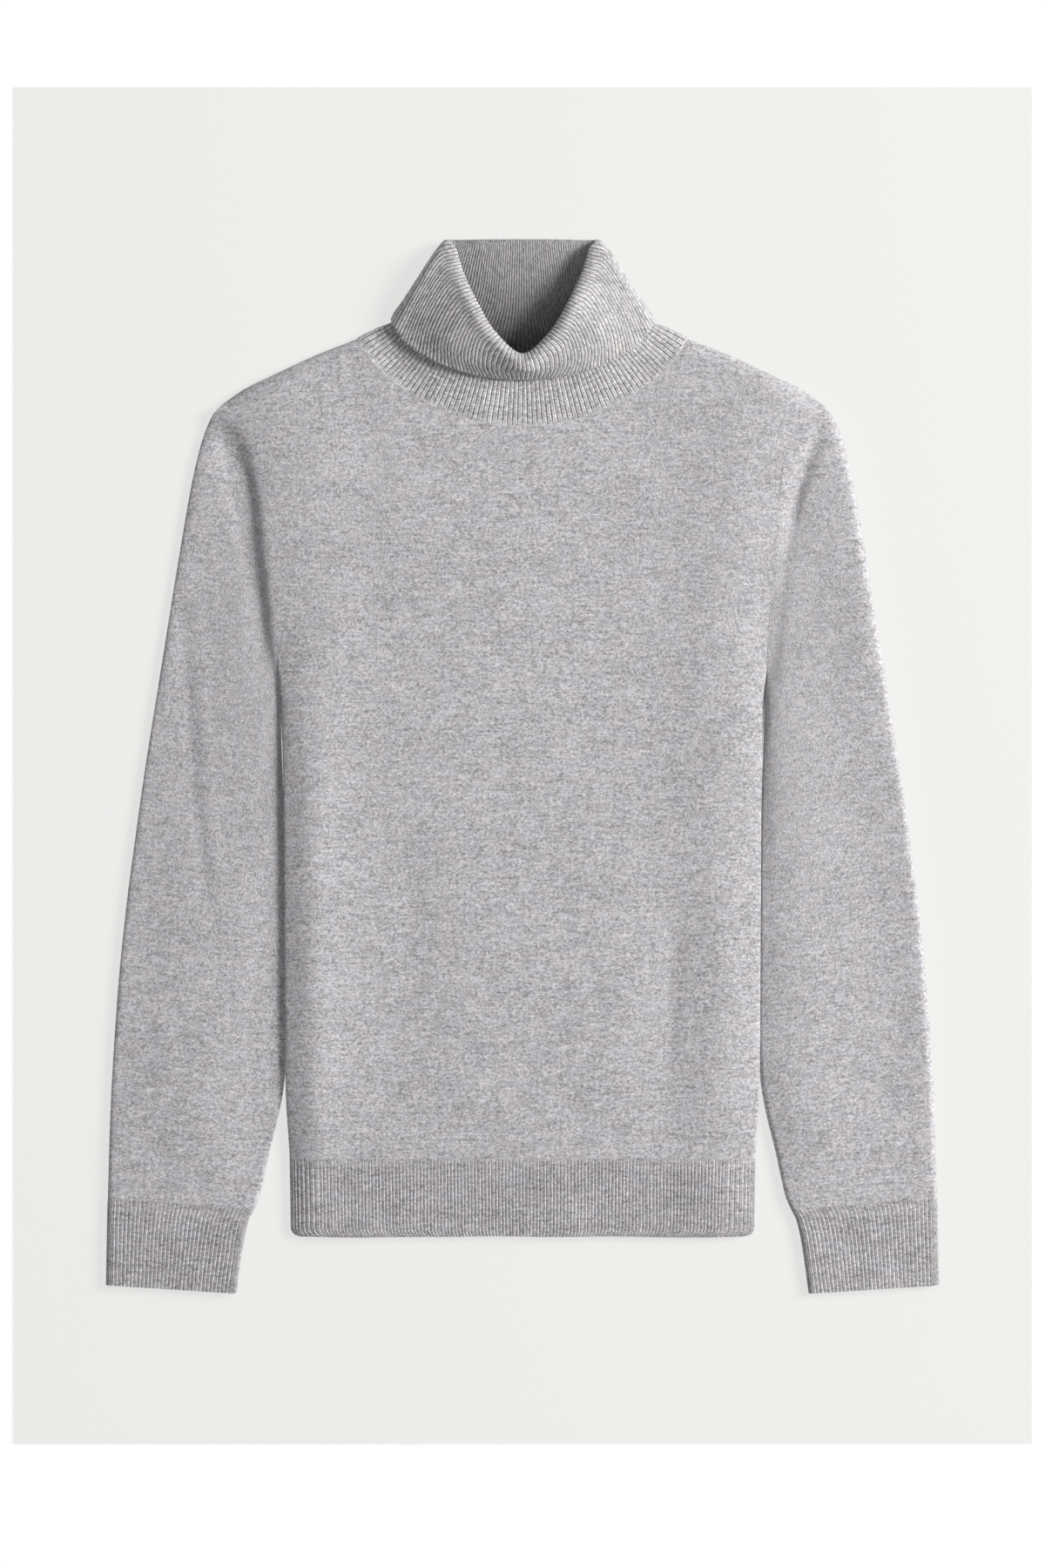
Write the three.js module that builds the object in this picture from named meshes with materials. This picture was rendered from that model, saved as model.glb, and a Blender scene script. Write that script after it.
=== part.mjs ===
// A roll-neck sweater in fine jersey, laid flat on its back with the sleeves at its sides.
// Millimetres. +X is the garment's right side as seen from above, +Y points to the collar and
// +Z points up from the surface. Every piece is a wall of cloth over a smooth surface.
import * as THREE from "three";

// Cloth
const JERSEY = 1.7;
const RIB = 2.1;
const RIB_RAISE = 0.5;
const SEAM_GAP = 0.3;

// Body, measured up from the edge of the hem and out from the middle
const HEM_DEPTH = 58;
const ARMPIT_UP = 402;
const SHOULDER_OUT = 223;
const SHOULDER_UP = 620.5;
const NECK_OUT = 124.2;
const BACK_NECK_DROP = 12;
const HEM_RIBS = 136;
const HEM_CORNER = 7;

// How far in from an edge the cloth rounds over
const SIDE_ROUND = 22;
const TOP_ROUND = 12;
const UNDER_ROUND = 14;
const ARMPIT_ROUND = 30;
const NECK_CORNER_ROUND = 30;
const ROUND_SHARE = 0.13;

// Sleeves and cuffs
const CUFF_SEAM_OUTER_UP = 28.3;
const CUFF_SEAM_INNER_UP = 20.5;
const CUFF_EDGE_OUTER_UP = -36.3;
const CUFF_EDGE_INNER_UP = -42.5;
const CUFF_RIBS = 41;
const SLEEVE_ROUND = 14;
const SLEEVE_INNER_ROUND = 4;
const CORNER_INSET = 0.1;

// Roll collar, a single ribbed tube
const COLLAR_FRONT_RIBS = 76;
const COLLAR_BACK_RIBS = 66;

// Half width of the body, and the height of its side fold
const BODY_SIDE = [
  { up: 0, half: 172.6, fold: 3.2 },
  { up: 58, half: 173.6, fold: 3.9 },
  { up: 109, half: 176.5, fold: 4.8 },
  { up: 232, half: 177.5, fold: 5.4 },
  { up: 337, half: 178.3, fold: 5.2 },
  { up: 402, half: 180.5, fold: 3.6 },
  { up: 467, half: 185.0, fold: 3.5 },
  { up: 506, half: 189.5, fold: 3.5 },
  { up: 540, half: 193.8, fold: 3.5 },
  { up: 568, half: 197.6, fold: 3.5 },
  { up: 589, half: 204.5, fold: 3.5 },
  { up: 604, half: 212.0, fold: 3.5 },
  { up: 620.5, half: 223.0, fold: 3.5 },
];

// Front neckline and shoulder line, from the middle out to the armhole
const NECKLINE = [
  { out: 0, up: 603.6 },
  { out: 23, up: 604.8 },
  { out: 45, up: 609.8 },
  { out: 65, up: 617.6 },
  { out: 89, up: 631.0 },
  { out: 108, up: 647.0 },
  { out: 124.2, up: 668.3 },
];
const SHOULDER = [
  { out: 124.2, up: 668.3 },
  { out: 153.4, up: 656.9 },
  { out: 187, up: 641.3 },
  { out: 208, up: 631.0 },
  { out: 223, up: 620.5 },
];

// Armhole seam: how far the front has risen off its fold there, and how soft its edge is
const ARMHOLE = [
  { up: 402, lift: 0.36, soft: 0 },
  { up: 430, lift: 0.4, soft: 0.25 },
  { up: 500, lift: 0.45, soft: 0.3 },
  { up: 545, lift: 0.55, soft: 0.4 },
  { up: 575, lift: 0.72, soft: 0.8 },
  { up: 600, lift: 0.82, soft: 1 },
  { up: 620.5, lift: 0.85, soft: 1 },
];

// Height of the front over the surface, along the middle
const BODY_MIDDLE = [
  { up: 0, high: 6.3 },
  { up: 58, high: 6.7 },
  { up: 120, high: 7.2 },
  { up: 450, high: 7.4 },
  { up: 560, high: 8.2 },
  { up: 640, high: 9.2 },
];

// Soft swells and troughs of the front: place, reach across and up, and height
const BODY_CREASES = [
  { x: 110, up: 175, wide: 24, long: 105, high: -1.5 },
  { x: -82, up: 250, wide: 17, long: 70, high: -0.9 },
  { x: 72, up: 190, wide: 26, long: 120, high: 0.7 },
  { x: -128, up: 470, wide: 24, long: 70, high: 0.9 },
  { x: 135, up: 470, wide: 24, long: 70, high: 1.1 },
];

// Outer and inner edges of the right sleeve and cuff
const SLEEVE_OUTER = [
  { up: -36.3, out: 310.4 },
  { up: 28.3, out: 309.2 },
  { up: 90, out: 307.4 },
  { up: 142, out: 304.6 },
  { up: 194, out: 300.8 },
  { up: 246, out: 295.4 },
  { up: 298, out: 288.6 },
  { up: 350, out: 281.2 },
  { up: 402, out: 272.9 },
  { up: 454, out: 264.6 },
  { up: 506, out: 256.2 },
  { up: 558, out: 247.2 },
  { up: 584, out: 241.4 },
  { up: 600, out: 236.4 },
  { up: 611, out: 231.2 },
  { up: 620.5, out: 223.0 },
];
const SLEEVE_INNER = [
  { up: -42.5, out: 213.6 },
  { up: -3.5, out: 208.0 },
  { up: 13, out: 204.0 },
  { up: 20.5, out: 200.0 },
  { up: 30, out: 196.0 },
  { up: 64, out: 188.4 },
  { up: 90, out: 182.0 },
  { up: 113, out: 177.8 },
  { up: 140, out: 176.1 },
  { up: 232, out: 176.8 },
  { up: 290, out: 177.5 },
  { up: 325, out: 178.5 },
  { up: 349, out: 179.3 },
  { up: 370, out: 180.1 },
  { up: 402, out: 180.9 },
];

// Height of the sleeve's front across it, from the outer edge (0) to the inner edge (1)
const SLEEVE_ACROSS = [
  { across: 0, high: 7.4 },
  { across: 0.12, high: 8.4 },
  { across: 0.3, high: 9.6 },
  { across: 0.45, high: 11.0 },
  { across: 0.6, high: 12.0 },
  { across: 0.75, high: 10.4 },
  { across: 0.88, high: 6.8 },
  { across: 0.96, high: 5.0 },
  { across: 1, high: 4.7 },
];
const CUFF_HIGH = 6.6;
const SLEEVE_FOLD_HIGH = 3.5;
const CUFF_FOLD_HIGH = 3.2;
const SLEEVE_INNER_FOLD_HIGH = 2.35;

// Throat opening of the collar: the inner brink of its fold from the front centre to the corner
const THROAT = [
  { out: 0, up: 654.9 },
  { out: 10.5, up: 661.3 },
  { out: 20, up: 671.8 },
  { out: 28, up: 684.3 },
  { out: 35.8, up: 698.3 },
  { out: 42.4, up: 713.0 },
  { out: 47.2, up: 728.0 },
  { out: 51.4, up: 742.0 },
];
// Lower edge of the turned-down part, from the front centre to the side
const ROLL_EDGE = [
  { out: 0, up: 637.8 },
  { out: 26, up: 639.6 },
  { out: 48, up: 644.2 },
  { out: 70, up: 654.2 },
  { out: 86.5, up: 664.4 },
  { out: 99.5, up: 683.0 },
];

// The collar's rings from the neck seam, up the stand, over the fold and down to the free edge.
// kind says what the ring follows in front; along places it between its kind's two curves, off
// moves it out from the throat, high is its height at the front, at mid front and near the side.
const COLLAR_RINGS = [
  { kind: "seam", high: [0, 0, 0], side: [123.2, 670.8, 3.3], back: [657.2, 1.1] },
  { kind: "band", along: 0.5, high: [10.4, 10.2, 6.8], side: [109, 675.4, 4.0], back: [665, 1.1] },
  { kind: "band", along: 1, high: [13.2, 13.0, 7.2], side: [93.6, 682.0, 4.2], back: [673, 2.2] },
  { kind: "stand", along: 0.5, high: [19.5, 20.0, 10.4], side: [68, 712, 6.0], back: [693, 4.8] },
  { kind: "throat", off: 2.0, high: [26.5, 26.5, 15.0], side: [57, 732.5, 9.0], back: [724, 4.8] },
  { kind: "throat", off: 1.2, high: [32.0, 31.0, 18.8], side: [53, 740.5, 10.6], back: [739.5, 4.8] },
  { kind: "throat", off: 5.0, high: [35.0, 33.6, 21.2], side: [56.0, 743.0, 9.0], back: [742.2, 3.0] },
  { kind: "throat", off: 10.8, high: [32.0, 31.6, 19.8], side: [60.6, 739.0, 6.8], back: [739.4, 1.1] },
  { kind: "roll", along: 0.5, high: [25.0, 25.5, 16.8], side: [78.2, 713.0, 5.8], back: [728, 1.1] },
  { kind: "edge", high: [17.2, 17.4, 12.4], side: [97.4, 683.4, 5.4], back: [712, 1.1] },
];
const ROLL_BULGE = 8;
const COLLAR_STATIONS = [0, 0.25, 0.5, 0.75, 0.93, 1, 1.07, 1.5, 2];

// A smooth curve through one column of a table, read at any place along another
function reader(table, place, key) {
  const at = table.map((row) => row[place]);
  const value = table.map((row) => row[key]);
  const last = table.length - 1;
  const slope = value.map((v, i) => {
    const before = Math.max(0, i - 1);
    const after = Math.min(last, i + 1);
    return (value[after] - value[before]) / (at[after] - at[before]);
  });
  return (x) => {
    let i = 0;
    while (i < last - 1 && x > at[i + 1]) i += 1;
    const span = at[i + 1] - at[i];
    const f = THREE.MathUtils.clamp((x - at[i]) / span, 0, 1);
    const ease = f * f * (3 - 2 * f);
    const leave = f * (1 - f) * (1 - f) * span * slope[i];
    const arrive = f * f * (f - 1) * span * slope[i + 1];
    return value[i] * (1 - ease) + value[i + 1] * ease + leave + arrive;
  };
}

// A quarter ellipse: 0 at an edge with an upright start, 1 and level when the way in is 1
function roundRise(way) {
  const left = 1 - THREE.MathUtils.clamp(way, 0, 1);
  return Math.sqrt(1 - left * left);
}

// The way in from an edge, 0 at its brink and 1 where the cloth is level. A fold (soft 0) turns
// upright at its brink, a seam (soft 1) slopes. inset is the share of the rounded strip passed,
// lift the share of the height reached. The wall's inside lies its depth away: shift says how
// much of that is sideways and drop how much is downwards.
function brink(way, soft, edgeLift) {
  if (way >= 1) return { inset: 1, lift: 1, shift: 0, drop: 1 };
  const turn = way * Math.PI / 2;
  const inset = THREE.MathUtils.lerp(1 - Math.cos(turn), way, soft);
  const rise = THREE.MathUtils.lerp(Math.sin(turn), way * (2 - way), soft);
  const lift = edgeLift + (1 - edgeLift) * rise;
  const shift = Math.cos(turn) * (1 - soft);
  return { inset, lift, shift, drop: THREE.MathUtils.lerp(lift, 1, soft) };
}

function normalAt(surface, across, up) {
  const step = 1e-4;
  const alongAcross = surface(across + step, up).sub(surface(across - step, up));
  const alongUp = surface(across, up + step).sub(surface(across, up - step));
  return alongAcross.cross(alongUp).normalize();
}

// Triangles between two rows of points, each row a list of { at, index } in rising order
function stitch(triangles, low, high) {
  let i = 0;
  let j = 0;
  while (i < low.length - 1 || j < high.length - 1) {
    const lowNext = i < low.length - 1 ? low[i].at + low[i + 1].at : Infinity;
    const highNext = j < high.length - 1 ? high[j].at + high[j + 1].at : Infinity;
    if (lowNext <= highNext) {
      triangles.push([low[i].index, low[i + 1].index, high[j].index]);
      i += 1;
    } else {
      triangles.push([low[i].index, high[j + 1].index, high[j].index]);
      j += 1;
    }
  }
}

// A closed wall of cloth. rows lists { up, outer, inner } with the places across where the
// outside and the inside have points, and outside and inside give those points.
// A ring has a period and joins its last point to its first.
function clothWall({ outside, inside, rows, period = 0 }) {
  const positions = [];
  const triangles = [];
  const lay = (places, up, surface) => {
    const row = places.map((at) => {
      const point = surface(at, up);
      positions.push(point.x, point.y, point.z);
      return { at, index: positions.length / 3 - 1 };
    });
    if (period) row.push({ at: row[0].at + period, index: row[0].index });
    return row;
  };
  const outer = rows.map((row) => lay(row.outer, row.up, outside));
  const inner = rows.map((row) => lay(row.inner, row.up, inside));
  const last = rows.length - 1;
  for (let r = 0; r < last; r += 1) {
    stitch(triangles, outer[r], outer[r + 1]);
    const under = [];
    stitch(under, inner[r], inner[r + 1]);
    under.forEach(([a, b, c]) => triangles.push([a, c, b]));
    if (period) continue;
    const near = [outer[r][0], outer[r + 1][0], inner[r + 1][0], inner[r][0]].map((p) => p.index);
    const far = [outer[r + 1], outer[r], inner[r], inner[r + 1]].map((row) => row.at(-1).index);
    for (const [a, b, c, d] of [near, far]) triangles.push([a, b, c], [a, c, d]);
  }
  stitch(triangles, inner[0], outer[0]);
  stitch(triangles, outer[last], inner[last]);
  const geometry = new THREE.BufferGeometry();
  geometry.setAttribute("position", new THREE.Float32BufferAttribute(positions, 3));
  geometry.setIndex(triangles.flat());
  geometry.computeVertexNormals();
  return geometry;
}

// The same geometry on the garment's other side
function mirrored(geometry) {
  const copy = geometry.clone().scale(-1, 1, 1);
  const index = Array.from(copy.getIndex().array);
  for (let i = 0; i < index.length; i += 3) [index[i], index[i + 1]] = [index[i + 1], index[i]];
  copy.setIndex(index);
  copy.computeVertexNormals();
  return copy;
}

const evenly = (from, to, steps) =>
  Array.from({ length: steps + 1 }, (_, i) => from + ((to - from) * i) / steps);

// Body panels

const bodyHalf = reader(BODY_SIDE, "up", "half");
const foldHigh = reader(BODY_SIDE, "up", "fold");
const armholeLift = reader(ARMHOLE, "up", "lift");
const armholeSoft = reader(ARMHOLE, "up", "soft");
const middleHigh = reader(BODY_MIDDLE, "up", "high");
const necklineUp = reader(NECKLINE, "out", "up");
const shoulderUp = reader(SHOULDER, "out", "up");

const swell = (value, reach) => Math.exp(-((value / reach) ** 2));

function frontHigh(x, up, half) {
  const inward = half - Math.abs(x);
  let high = middleHigh(up) + 3.4 * swell(inward - 27, 32) * Math.min(1, 0.35 + up / 150);
  for (const crease of BODY_CREASES) {
    high += crease.high * swell(x - crease.x, crease.wide) * swell(up - crease.up, crease.long);
  }
  return high;
}

// Top edge of a panel over a place out from the middle, neckline or shoulder
function topUp(out, isFront) {
  if (out >= NECK_OUT) return shoulderUp(out);
  return isFront ? necklineUp(out) : NECKLINE.at(-1).up - BACK_NECK_DROP * (1 - (out / NECK_OUT) ** 2);
}

// The armhole's lift off the fold line: none below the armpit, then a rounded rise
function edgeLift(up, isFront) {
  const rise = roundRise((up - ARMPIT_UP) / ARMPIT_ROUND);
  return isFront ? rise * armholeLift(up) : rise;
}

// The side fold and armhole seen in a row of the body: place across from -1 to 1
function bodyRow(across, up, isFront, depth) {
  const round = isFront ? SIDE_ROUND : UNDER_ROUND;
  const aboveArmpit = up > ARMPIT_UP;
  const corner = HEM_CORNER * (1 - roundRise(up / HEM_CORNER));
  const half = bodyHalf(up) - corner - (aboveArmpit ? SEAM_GAP / 2 : 0);
  const reach = Math.abs(across);
  const soft = aboveArmpit ? armholeSoft(up) : 0;
  const edge = brink((1 - reach) / ROUND_SHARE, soft, edgeLift(up, isFront));
  const level = (half - round) * Math.min(1, reach / (1 - ROUND_SHARE));
  const out = level + round * (1 - edge.inset) - depth * edge.shift;
  return { out, half, lift: edge.lift, drop: edge.drop };
}

// Height at a place of the front or back whose folds have lifted and dropped it so far
function panelHigh(x, up, row, fold, isFront, depth) {
  if (!isFront) return (fold - SEAM_GAP / 2) * (1 - row.lift) + depth * row.drop;
  return fold + SEAM_GAP / 2 + (frontHigh(x, up, row.half) - fold) * row.lift - depth * row.drop;
}

// A point of the front's outside or the back's underside, or depth inside it. across runs -1 to
// 1, along 0 to 1 from the hem seam to the shoulder and neckline.
function bodyPoint(across, along, isFront, depth) {
  const start = HEM_DEPTH + SEAM_GAP / 2;
  const wayDown = (1 - along) / ROUND_SHARE;
  const downFromTop = (length, edge) => TOP_ROUND * edge.inset
    + (length - TOP_ROUND) * Math.max(0, 1 - along / (1 - ROUND_SHARE)) + depth * edge.shift;
  const sideUp = SHOULDER_UP - downFromTop(SHOULDER_UP - start, brink(wayDown, 0, 0));
  const row = bodyRow(across, sideUp, isFront, depth);
  const topOut = Math.min(SHOULDER_OUT, SHOULDER_OUT * row.out / row.half);
  const softTop = roundRise((NECK_OUT - topOut) / NECK_CORNER_ROUND);
  const top = topUp(topOut, isFront);
  const edge = brink(wayDown, softTop, softTop);
  const up = top - downFromTop(top - start, edge);
  const x = row.out * Math.sign(across);
  const shaped = { half: row.half, lift: row.lift * edge.lift, drop: row.drop * edge.drop };
  return new THREE.Vector3(x, up, panelHigh(x, up, shaped, foldHigh(sideUp), isFront, depth));
}

// Share of the way up a panel at which its side reaches a height
function panelAlong(sideUp) {
  const span = SHOULDER_UP - TOP_ROUND - HEM_DEPTH - SEAM_GAP / 2;
  return (1 - ROUND_SHARE) * (1 - (SHOULDER_UP - TOP_ROUND - sideUp) / span);
}

// Places across a panel, close together where it rounds over, with one at the neck corner
function panelAcross(neck, inside, outside, rounding = 3) {
  const half = [
    ...evenly(0, neck, inside).slice(1),
    ...evenly(neck, 1 - ROUND_SHARE, outside).slice(1),
    ...evenly(1 - ROUND_SHARE, 1, rounding).slice(1),
  ];
  return [...half.map((s) => -s).reverse(), 0, ...half];
}

// Rows of a panel: below the armpit, along the armhole, and over the shoulder's rounding
const panelRows = (below, armhole) => [
  ...evenly(0, panelAlong(ARMPIT_UP), below),
  panelAlong(ARMPIT_UP + ARMPIT_ROUND / 3),
  ...evenly(panelAlong(ARMPIT_UP), 1 - ROUND_SHARE, armhole).slice(1),
  ...evenly(1 - ROUND_SHARE, 1, 3).slice(1),
];
const FRONT_ROWS = panelRows(6, 7);
const BACK_ROWS = panelRows(5, 6);
const NECK_STEPS = 14;

function bodyPanel(isFront, ups, inside, outside) {
  const side = isFront ? 1 : -1;
  const round = isFront ? SIDE_ROUND : UNDER_ROUND;
  const neck = (1 - ROUND_SHARE) * NECK_OUT / (SHOULDER_OUT - round);
  const places = panelAcross(neck, inside, outside);
  const topPlaces = panelAcross(neck, NECK_STEPS, outside);
  const rows = ups.map((up) => {
    const row = up < 1 ? places : topPlaces;
    return { up, outer: row, inner: row };
  });
  return clothWall({
    outside: (across, along) => bodyPoint(side * across, along, isFront, 0),
    inside: (across, along) => bodyPoint(side * across, along, isFront, JERSEY),
    rows,
  });
}

// Hem ribs

function hemPoint(across, up, isFront, depth) {
  const row = bodyRow(across, up, isFront, depth);
  const x = row.out * Math.sign(across);
  return new THREE.Vector3(x, up, panelHigh(x, up, row, foldHigh(up), isFront, depth));
}

const ribRaise = (phase) => RIB_RAISE * Math.abs(Math.sin(phase * Math.PI));

// A surface moved out along its normal by a raise that varies across and along it. Where the
// rows of points lie in upright planes, facing gives a plane's direction and they stay in it.
function raised(surface, raise, facing) {
  return (across, along) => {
    const normal = normalAt(surface, across, along);
    if (facing) normal.projectOnPlane(facing(along)).normalize();
    return surface(across, along).addScaledVector(normal, raise(across, along));
  };
}

function hemRib(isFront) {
  const side = isFront ? 1 : -1;
  // The ribbed rims need points on their inner side that are close enough for the ribs
  const plain = panelAcross(0.5, 3, 2);
  const rim = isFront ? panelAcross(0.5, 20, 15, 6) : plain;
  const outside = (across, up) => hemPoint(side * across, up, isFront, 0);
  const inside = (across, up) => hemPoint(side * across, up, isFront, RIB);
  const ribs = (across) => ribRaise((across + 1) * HEM_RIBS / 2) - RIB_RAISE / 2;
  const rows = [0, HEM_CORNER * 0.4, HEM_CORNER, HEM_DEPTH - SEAM_GAP / 2].map((up, row) => ({
    up,
    outer: isFront ? evenly(-1, 1, 2 * HEM_RIBS) : plain,
    inner: row % 3 === 0 ? rim : plain,
  }));
  const facing = () => new THREE.Vector3(0, 1, 0);
  return clothWall({ outside: isFront ? raised(outside, ribs, facing) : outside, inside, rows });
}

// Sleeves and cuffs. around runs 0 to 1 over the front from the inner to the outer edge, and
// 1 to 2 along the underside back to the inner edge.

const sleeveOuter = reader(SLEEVE_OUTER, "up", "out");
const sleeveInner = reader(SLEEVE_INNER, "up", "out");
const sleeveHigh = reader(SLEEVE_ACROSS, "across", "high");

// Share of the chord that is passed at a share of the way across, and back
function chordPlace(fromInner, length) {
  const inner = brink(fromInner / ROUND_SHARE, 0, 0);
  const outer = brink((1 - fromInner) / ROUND_SHARE, 0, 0);
  const level = THREE.MathUtils.clamp((fromInner - ROUND_SHARE) / (1 - 2 * ROUND_SHARE), 0, 1);
  return SLEEVE_INNER_ROUND * inner.inset + SLEEVE_ROUND * (1 - outer.inset)
    + (length - SLEEVE_INNER_ROUND - SLEEVE_ROUND) * level;
}

// depth moves the inside of the wall in from the tube's two folds
function ringPoint(around, ends, depth) {
  const turn = THREE.MathUtils.euclideanModulo(around, 2);
  const isFront = turn <= 1;
  const fromInner = isFront ? turn : 2 - turn;
  const inner = brink(fromInner / ROUND_SHARE, 0, 0);
  const outer = brink((1 - fromInner) / ROUND_SHARE, 0, 0);
  const chord = ends.outer.clone().sub(ends.inner);
  const length = chord.length();
  const place = chordPlace(fromInner, length) - depth * outer.shift;
  const across = 1 - place / length;
  const lift = inner.lift * outer.lift;
  const plan = ends.inner.clone().addScaledVector(chord, place / length);
  plan.x += depth * inner.shift;
  return { plan, lift, across, isFront };
}

function ringHigh(ring, fold, front, depth) {
  if (!ring.isFront) return fold * (1 - ring.lift) + depth * ring.lift;
  return fold + (front - fold) * ring.lift - depth * ring.lift;
}

function sleevePoint(around, along, depth) {
  const outerUp = THREE.MathUtils.lerp(CUFF_SEAM_OUTER_UP + SEAM_GAP / 2, SHOULDER_UP, along);
  const innerUp = THREE.MathUtils.lerp(CUFF_SEAM_INNER_UP + SEAM_GAP / 2, ARMPIT_UP, along);
  const ring = ringPoint(around, {
    outer: new THREE.Vector2(sleeveOuter(outerUp), outerUp),
    inner: new THREE.Vector2(sleeveInner(innerUp), innerUp),
  }, along < 1 ? depth : 0);
  const open = THREE.MathUtils.smoothstep(along, 0, 0.14);
  const outerFold = THREE.MathUtils.lerp(CUFF_FOLD_HIGH, SLEEVE_FOLD_HIGH, open);
  const low = THREE.MathUtils.lerp(CUFF_FOLD_HIGH, SLEEVE_INNER_FOLD_HIGH, open);
  const cap = THREE.MathUtils.smoothstep(along, 0.92, 1);
  const innerFold = THREE.MathUtils.lerp(low, foldHigh(ARMPIT_UP), cap);
  const fold = THREE.MathUtils.lerp(outerFold, innerFold, ring.across);
  const front = THREE.MathUtils.lerp(CUFF_HIGH, sleeveHigh(ring.across), open);
  const high = ringHigh(ring, fold, front, depth);

  // Towards the armhole the rows bend to its seam and take the body's height there
  const up = THREE.MathUtils.lerp(SHOULDER_UP, ARMPIT_UP, ring.across);
  const straight = THREE.MathUtils.lerp(SHOULDER_OUT, sleeveInner(ARMPIT_UP), ring.across);
  const bend = THREE.MathUtils.smoothstep(along, 0.45, 1);
  const x = ring.plan.x + (bodyHalf(up) + SEAM_GAP / 2 - straight) * bend;
  const join = THREE.MathUtils.smoothstep(along, 0.86, 1);
  const drop = depth * Math.min(ring.lift, armholeRise(up));
  const seam = armholeHigh(up, ring.isFront) + (ring.isFront ? -drop : drop);
  return new THREE.Vector3(x, ring.plan.y, THREE.MathUtils.lerp(high, seam, join));
}

// How far the armhole has opened at a height, 0 at the armpit and the shoulder
const armholeRise = (up) =>
  roundRise((up - ARMPIT_UP) / ARMPIT_ROUND) * roundRise((SHOULDER_UP - up) / TOP_ROUND);

// Height of the body's edge along the armhole
function armholeHigh(up, isFront) {
  const fold = foldHigh(up);
  const lift = armholeRise(up) * (isFront ? armholeLift(up) : 1);
  if (!isFront) return (fold - SEAM_GAP / 2) * (1 - lift);
  return fold + SEAM_GAP / 2 + (frontHigh(bodyHalf(up), up, bodyHalf(up)) - fold) * lift;
}

const SLEEVE_AROUND = [
  ...evenly(0, ROUND_SHARE, 2),
  ...evenly(ROUND_SHARE, 1 - ROUND_SHARE, 7).slice(1),
  ...evenly(1 - ROUND_SHARE, 1, 3).slice(1),
  ...evenly(1, 1 + ROUND_SHARE, 3).slice(1),
  ...evenly(1 + ROUND_SHARE, 2 - ROUND_SHARE, 4).slice(1),
  2 - ROUND_SHARE / 2,
];

// The place round the armhole at a height of its seam, found by halving
function armholeAround(up) {
  const length = Math.hypot(SHOULDER_OUT - sleeveInner(ARMPIT_UP), SHOULDER_UP - ARMPIT_UP);
  const wanted = length * (up - ARMPIT_UP) / (SHOULDER_UP - ARMPIT_UP);
  let low = 0;
  let high = 1;
  for (let i = 0; i < 30; i += 1) {
    const middle = (low + high) / 2;
    if (chordPlace(middle, length) < wanted) low = middle;
    else high = middle;
  }
  return (low + high) / 2;
}

// The armhole's points stand face to face with the ends of the panels' rows
const seamUps = (rows) => rows
  .map((along) => bodyPoint(1, along, true, 0).y)
  .filter((up) => up > ARMPIT_UP + 1 && up < SHOULDER_UP - 1);

function sleeve() {
  const armhole = [
    0,
    ...seamUps(FRONT_ROWS).map(armholeAround),
    1,
    ...seamUps(BACK_ROWS).map((up) => 2 - armholeAround(up)).reverse(),
  ];
  const rows = [...evenly(0, 0.14, 2), ...evenly(0.14, 0.86, 8).slice(1), 0.91, 0.95]
    .map((up) => ({ up, outer: SLEEVE_AROUND, inner: SLEEVE_AROUND }));
  rows.push({ up: 1, outer: armhole, inner: armhole });

  // At the armhole the wall's inside lies straight below or above its outside, and at the two
  // corners a little way in from the fold
  const inside = (around, along) => {
    const point = sleevePoint(around, along, JERSEY);
    if (along < 1 || around % 1 !== 0) return point;
    const place = armhole.indexOf(around);
    const before = sleevePoint(armhole.at(place - 1), 1, JERSEY);
    const after = sleevePoint(armhole[place + 1], 1, JERSEY);
    return point.lerp(before.add(after).divideScalar(2), CORNER_INSET);
  };
  return clothWall({
    outside: (around, along) => sleevePoint(around, along, 0),
    inside,
    rows,
    period: 2,
  });
}

// The ends of a cuff's row, at its outer and inner edge
function cuffEnds(along) {
  const outerUp = THREE.MathUtils.lerp(CUFF_EDGE_OUTER_UP, CUFF_SEAM_OUTER_UP - SEAM_GAP / 2, along);
  const innerUp = THREE.MathUtils.lerp(CUFF_EDGE_INNER_UP, CUFF_SEAM_INNER_UP - SEAM_GAP / 2, along);
  return {
    outer: new THREE.Vector2(sleeveOuter(outerUp), outerUp),
    inner: new THREE.Vector2(sleeveInner(innerUp), innerUp),
  };
}

function cuffPoint(around, along, depth) {
  const ring = ringPoint(around, cuffEnds(along), depth);
  const high = ringHigh(ring, CUFF_FOLD_HIGH, CUFF_HIGH, depth);
  return new THREE.Vector3(ring.plan.x, ring.plan.y, high);
}

function cuff() {
  const ribbed = [...evenly(0, 1, 2 * CUFF_RIBS), ...SLEEVE_AROUND.filter((a) => a > 1)];
  const rows = [0, 0.5, 0.86, 1].map((up) => ({ up, outer: ribbed, inner: SLEEVE_AROUND }));
  const plain = (around, along) => cuffPoint(around, along, 0);
  const ribs = (around) => (around <= 1 ? ribRaise(around * CUFF_RIBS) - RIB_RAISE / 2 : 0);
  const facing = (along) => {
    const { outer, inner } = cuffEnds(along);
    return new THREE.Vector3(inner.y - outer.y, outer.x - inner.x, 0).normalize();
  };
  return clothWall({
    outside: raised(plain, ribs, facing),
    inside: (around, along) => cuffPoint(around, along, RIB),
    rows,
    period: 2,
  });
}

// Roll collar. turn runs round it from -2 to 2: 0 at the front centre, 1 and -1 at the sides,
// 2 and -2 at the back centre. The surface is the middle of the wall.

// A plan curve read by its share of length
function planCurve(table) {
  const points = table.map((row) => new THREE.Vector2(row.out, row.up));
  return new THREE.SplineCurve(points);
}
const necklineCurve = planCurve(NECKLINE);
const throatCurve = planCurve(THROAT);
const rollEdgeCurve = planCurve(ROLL_EDGE);

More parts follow.
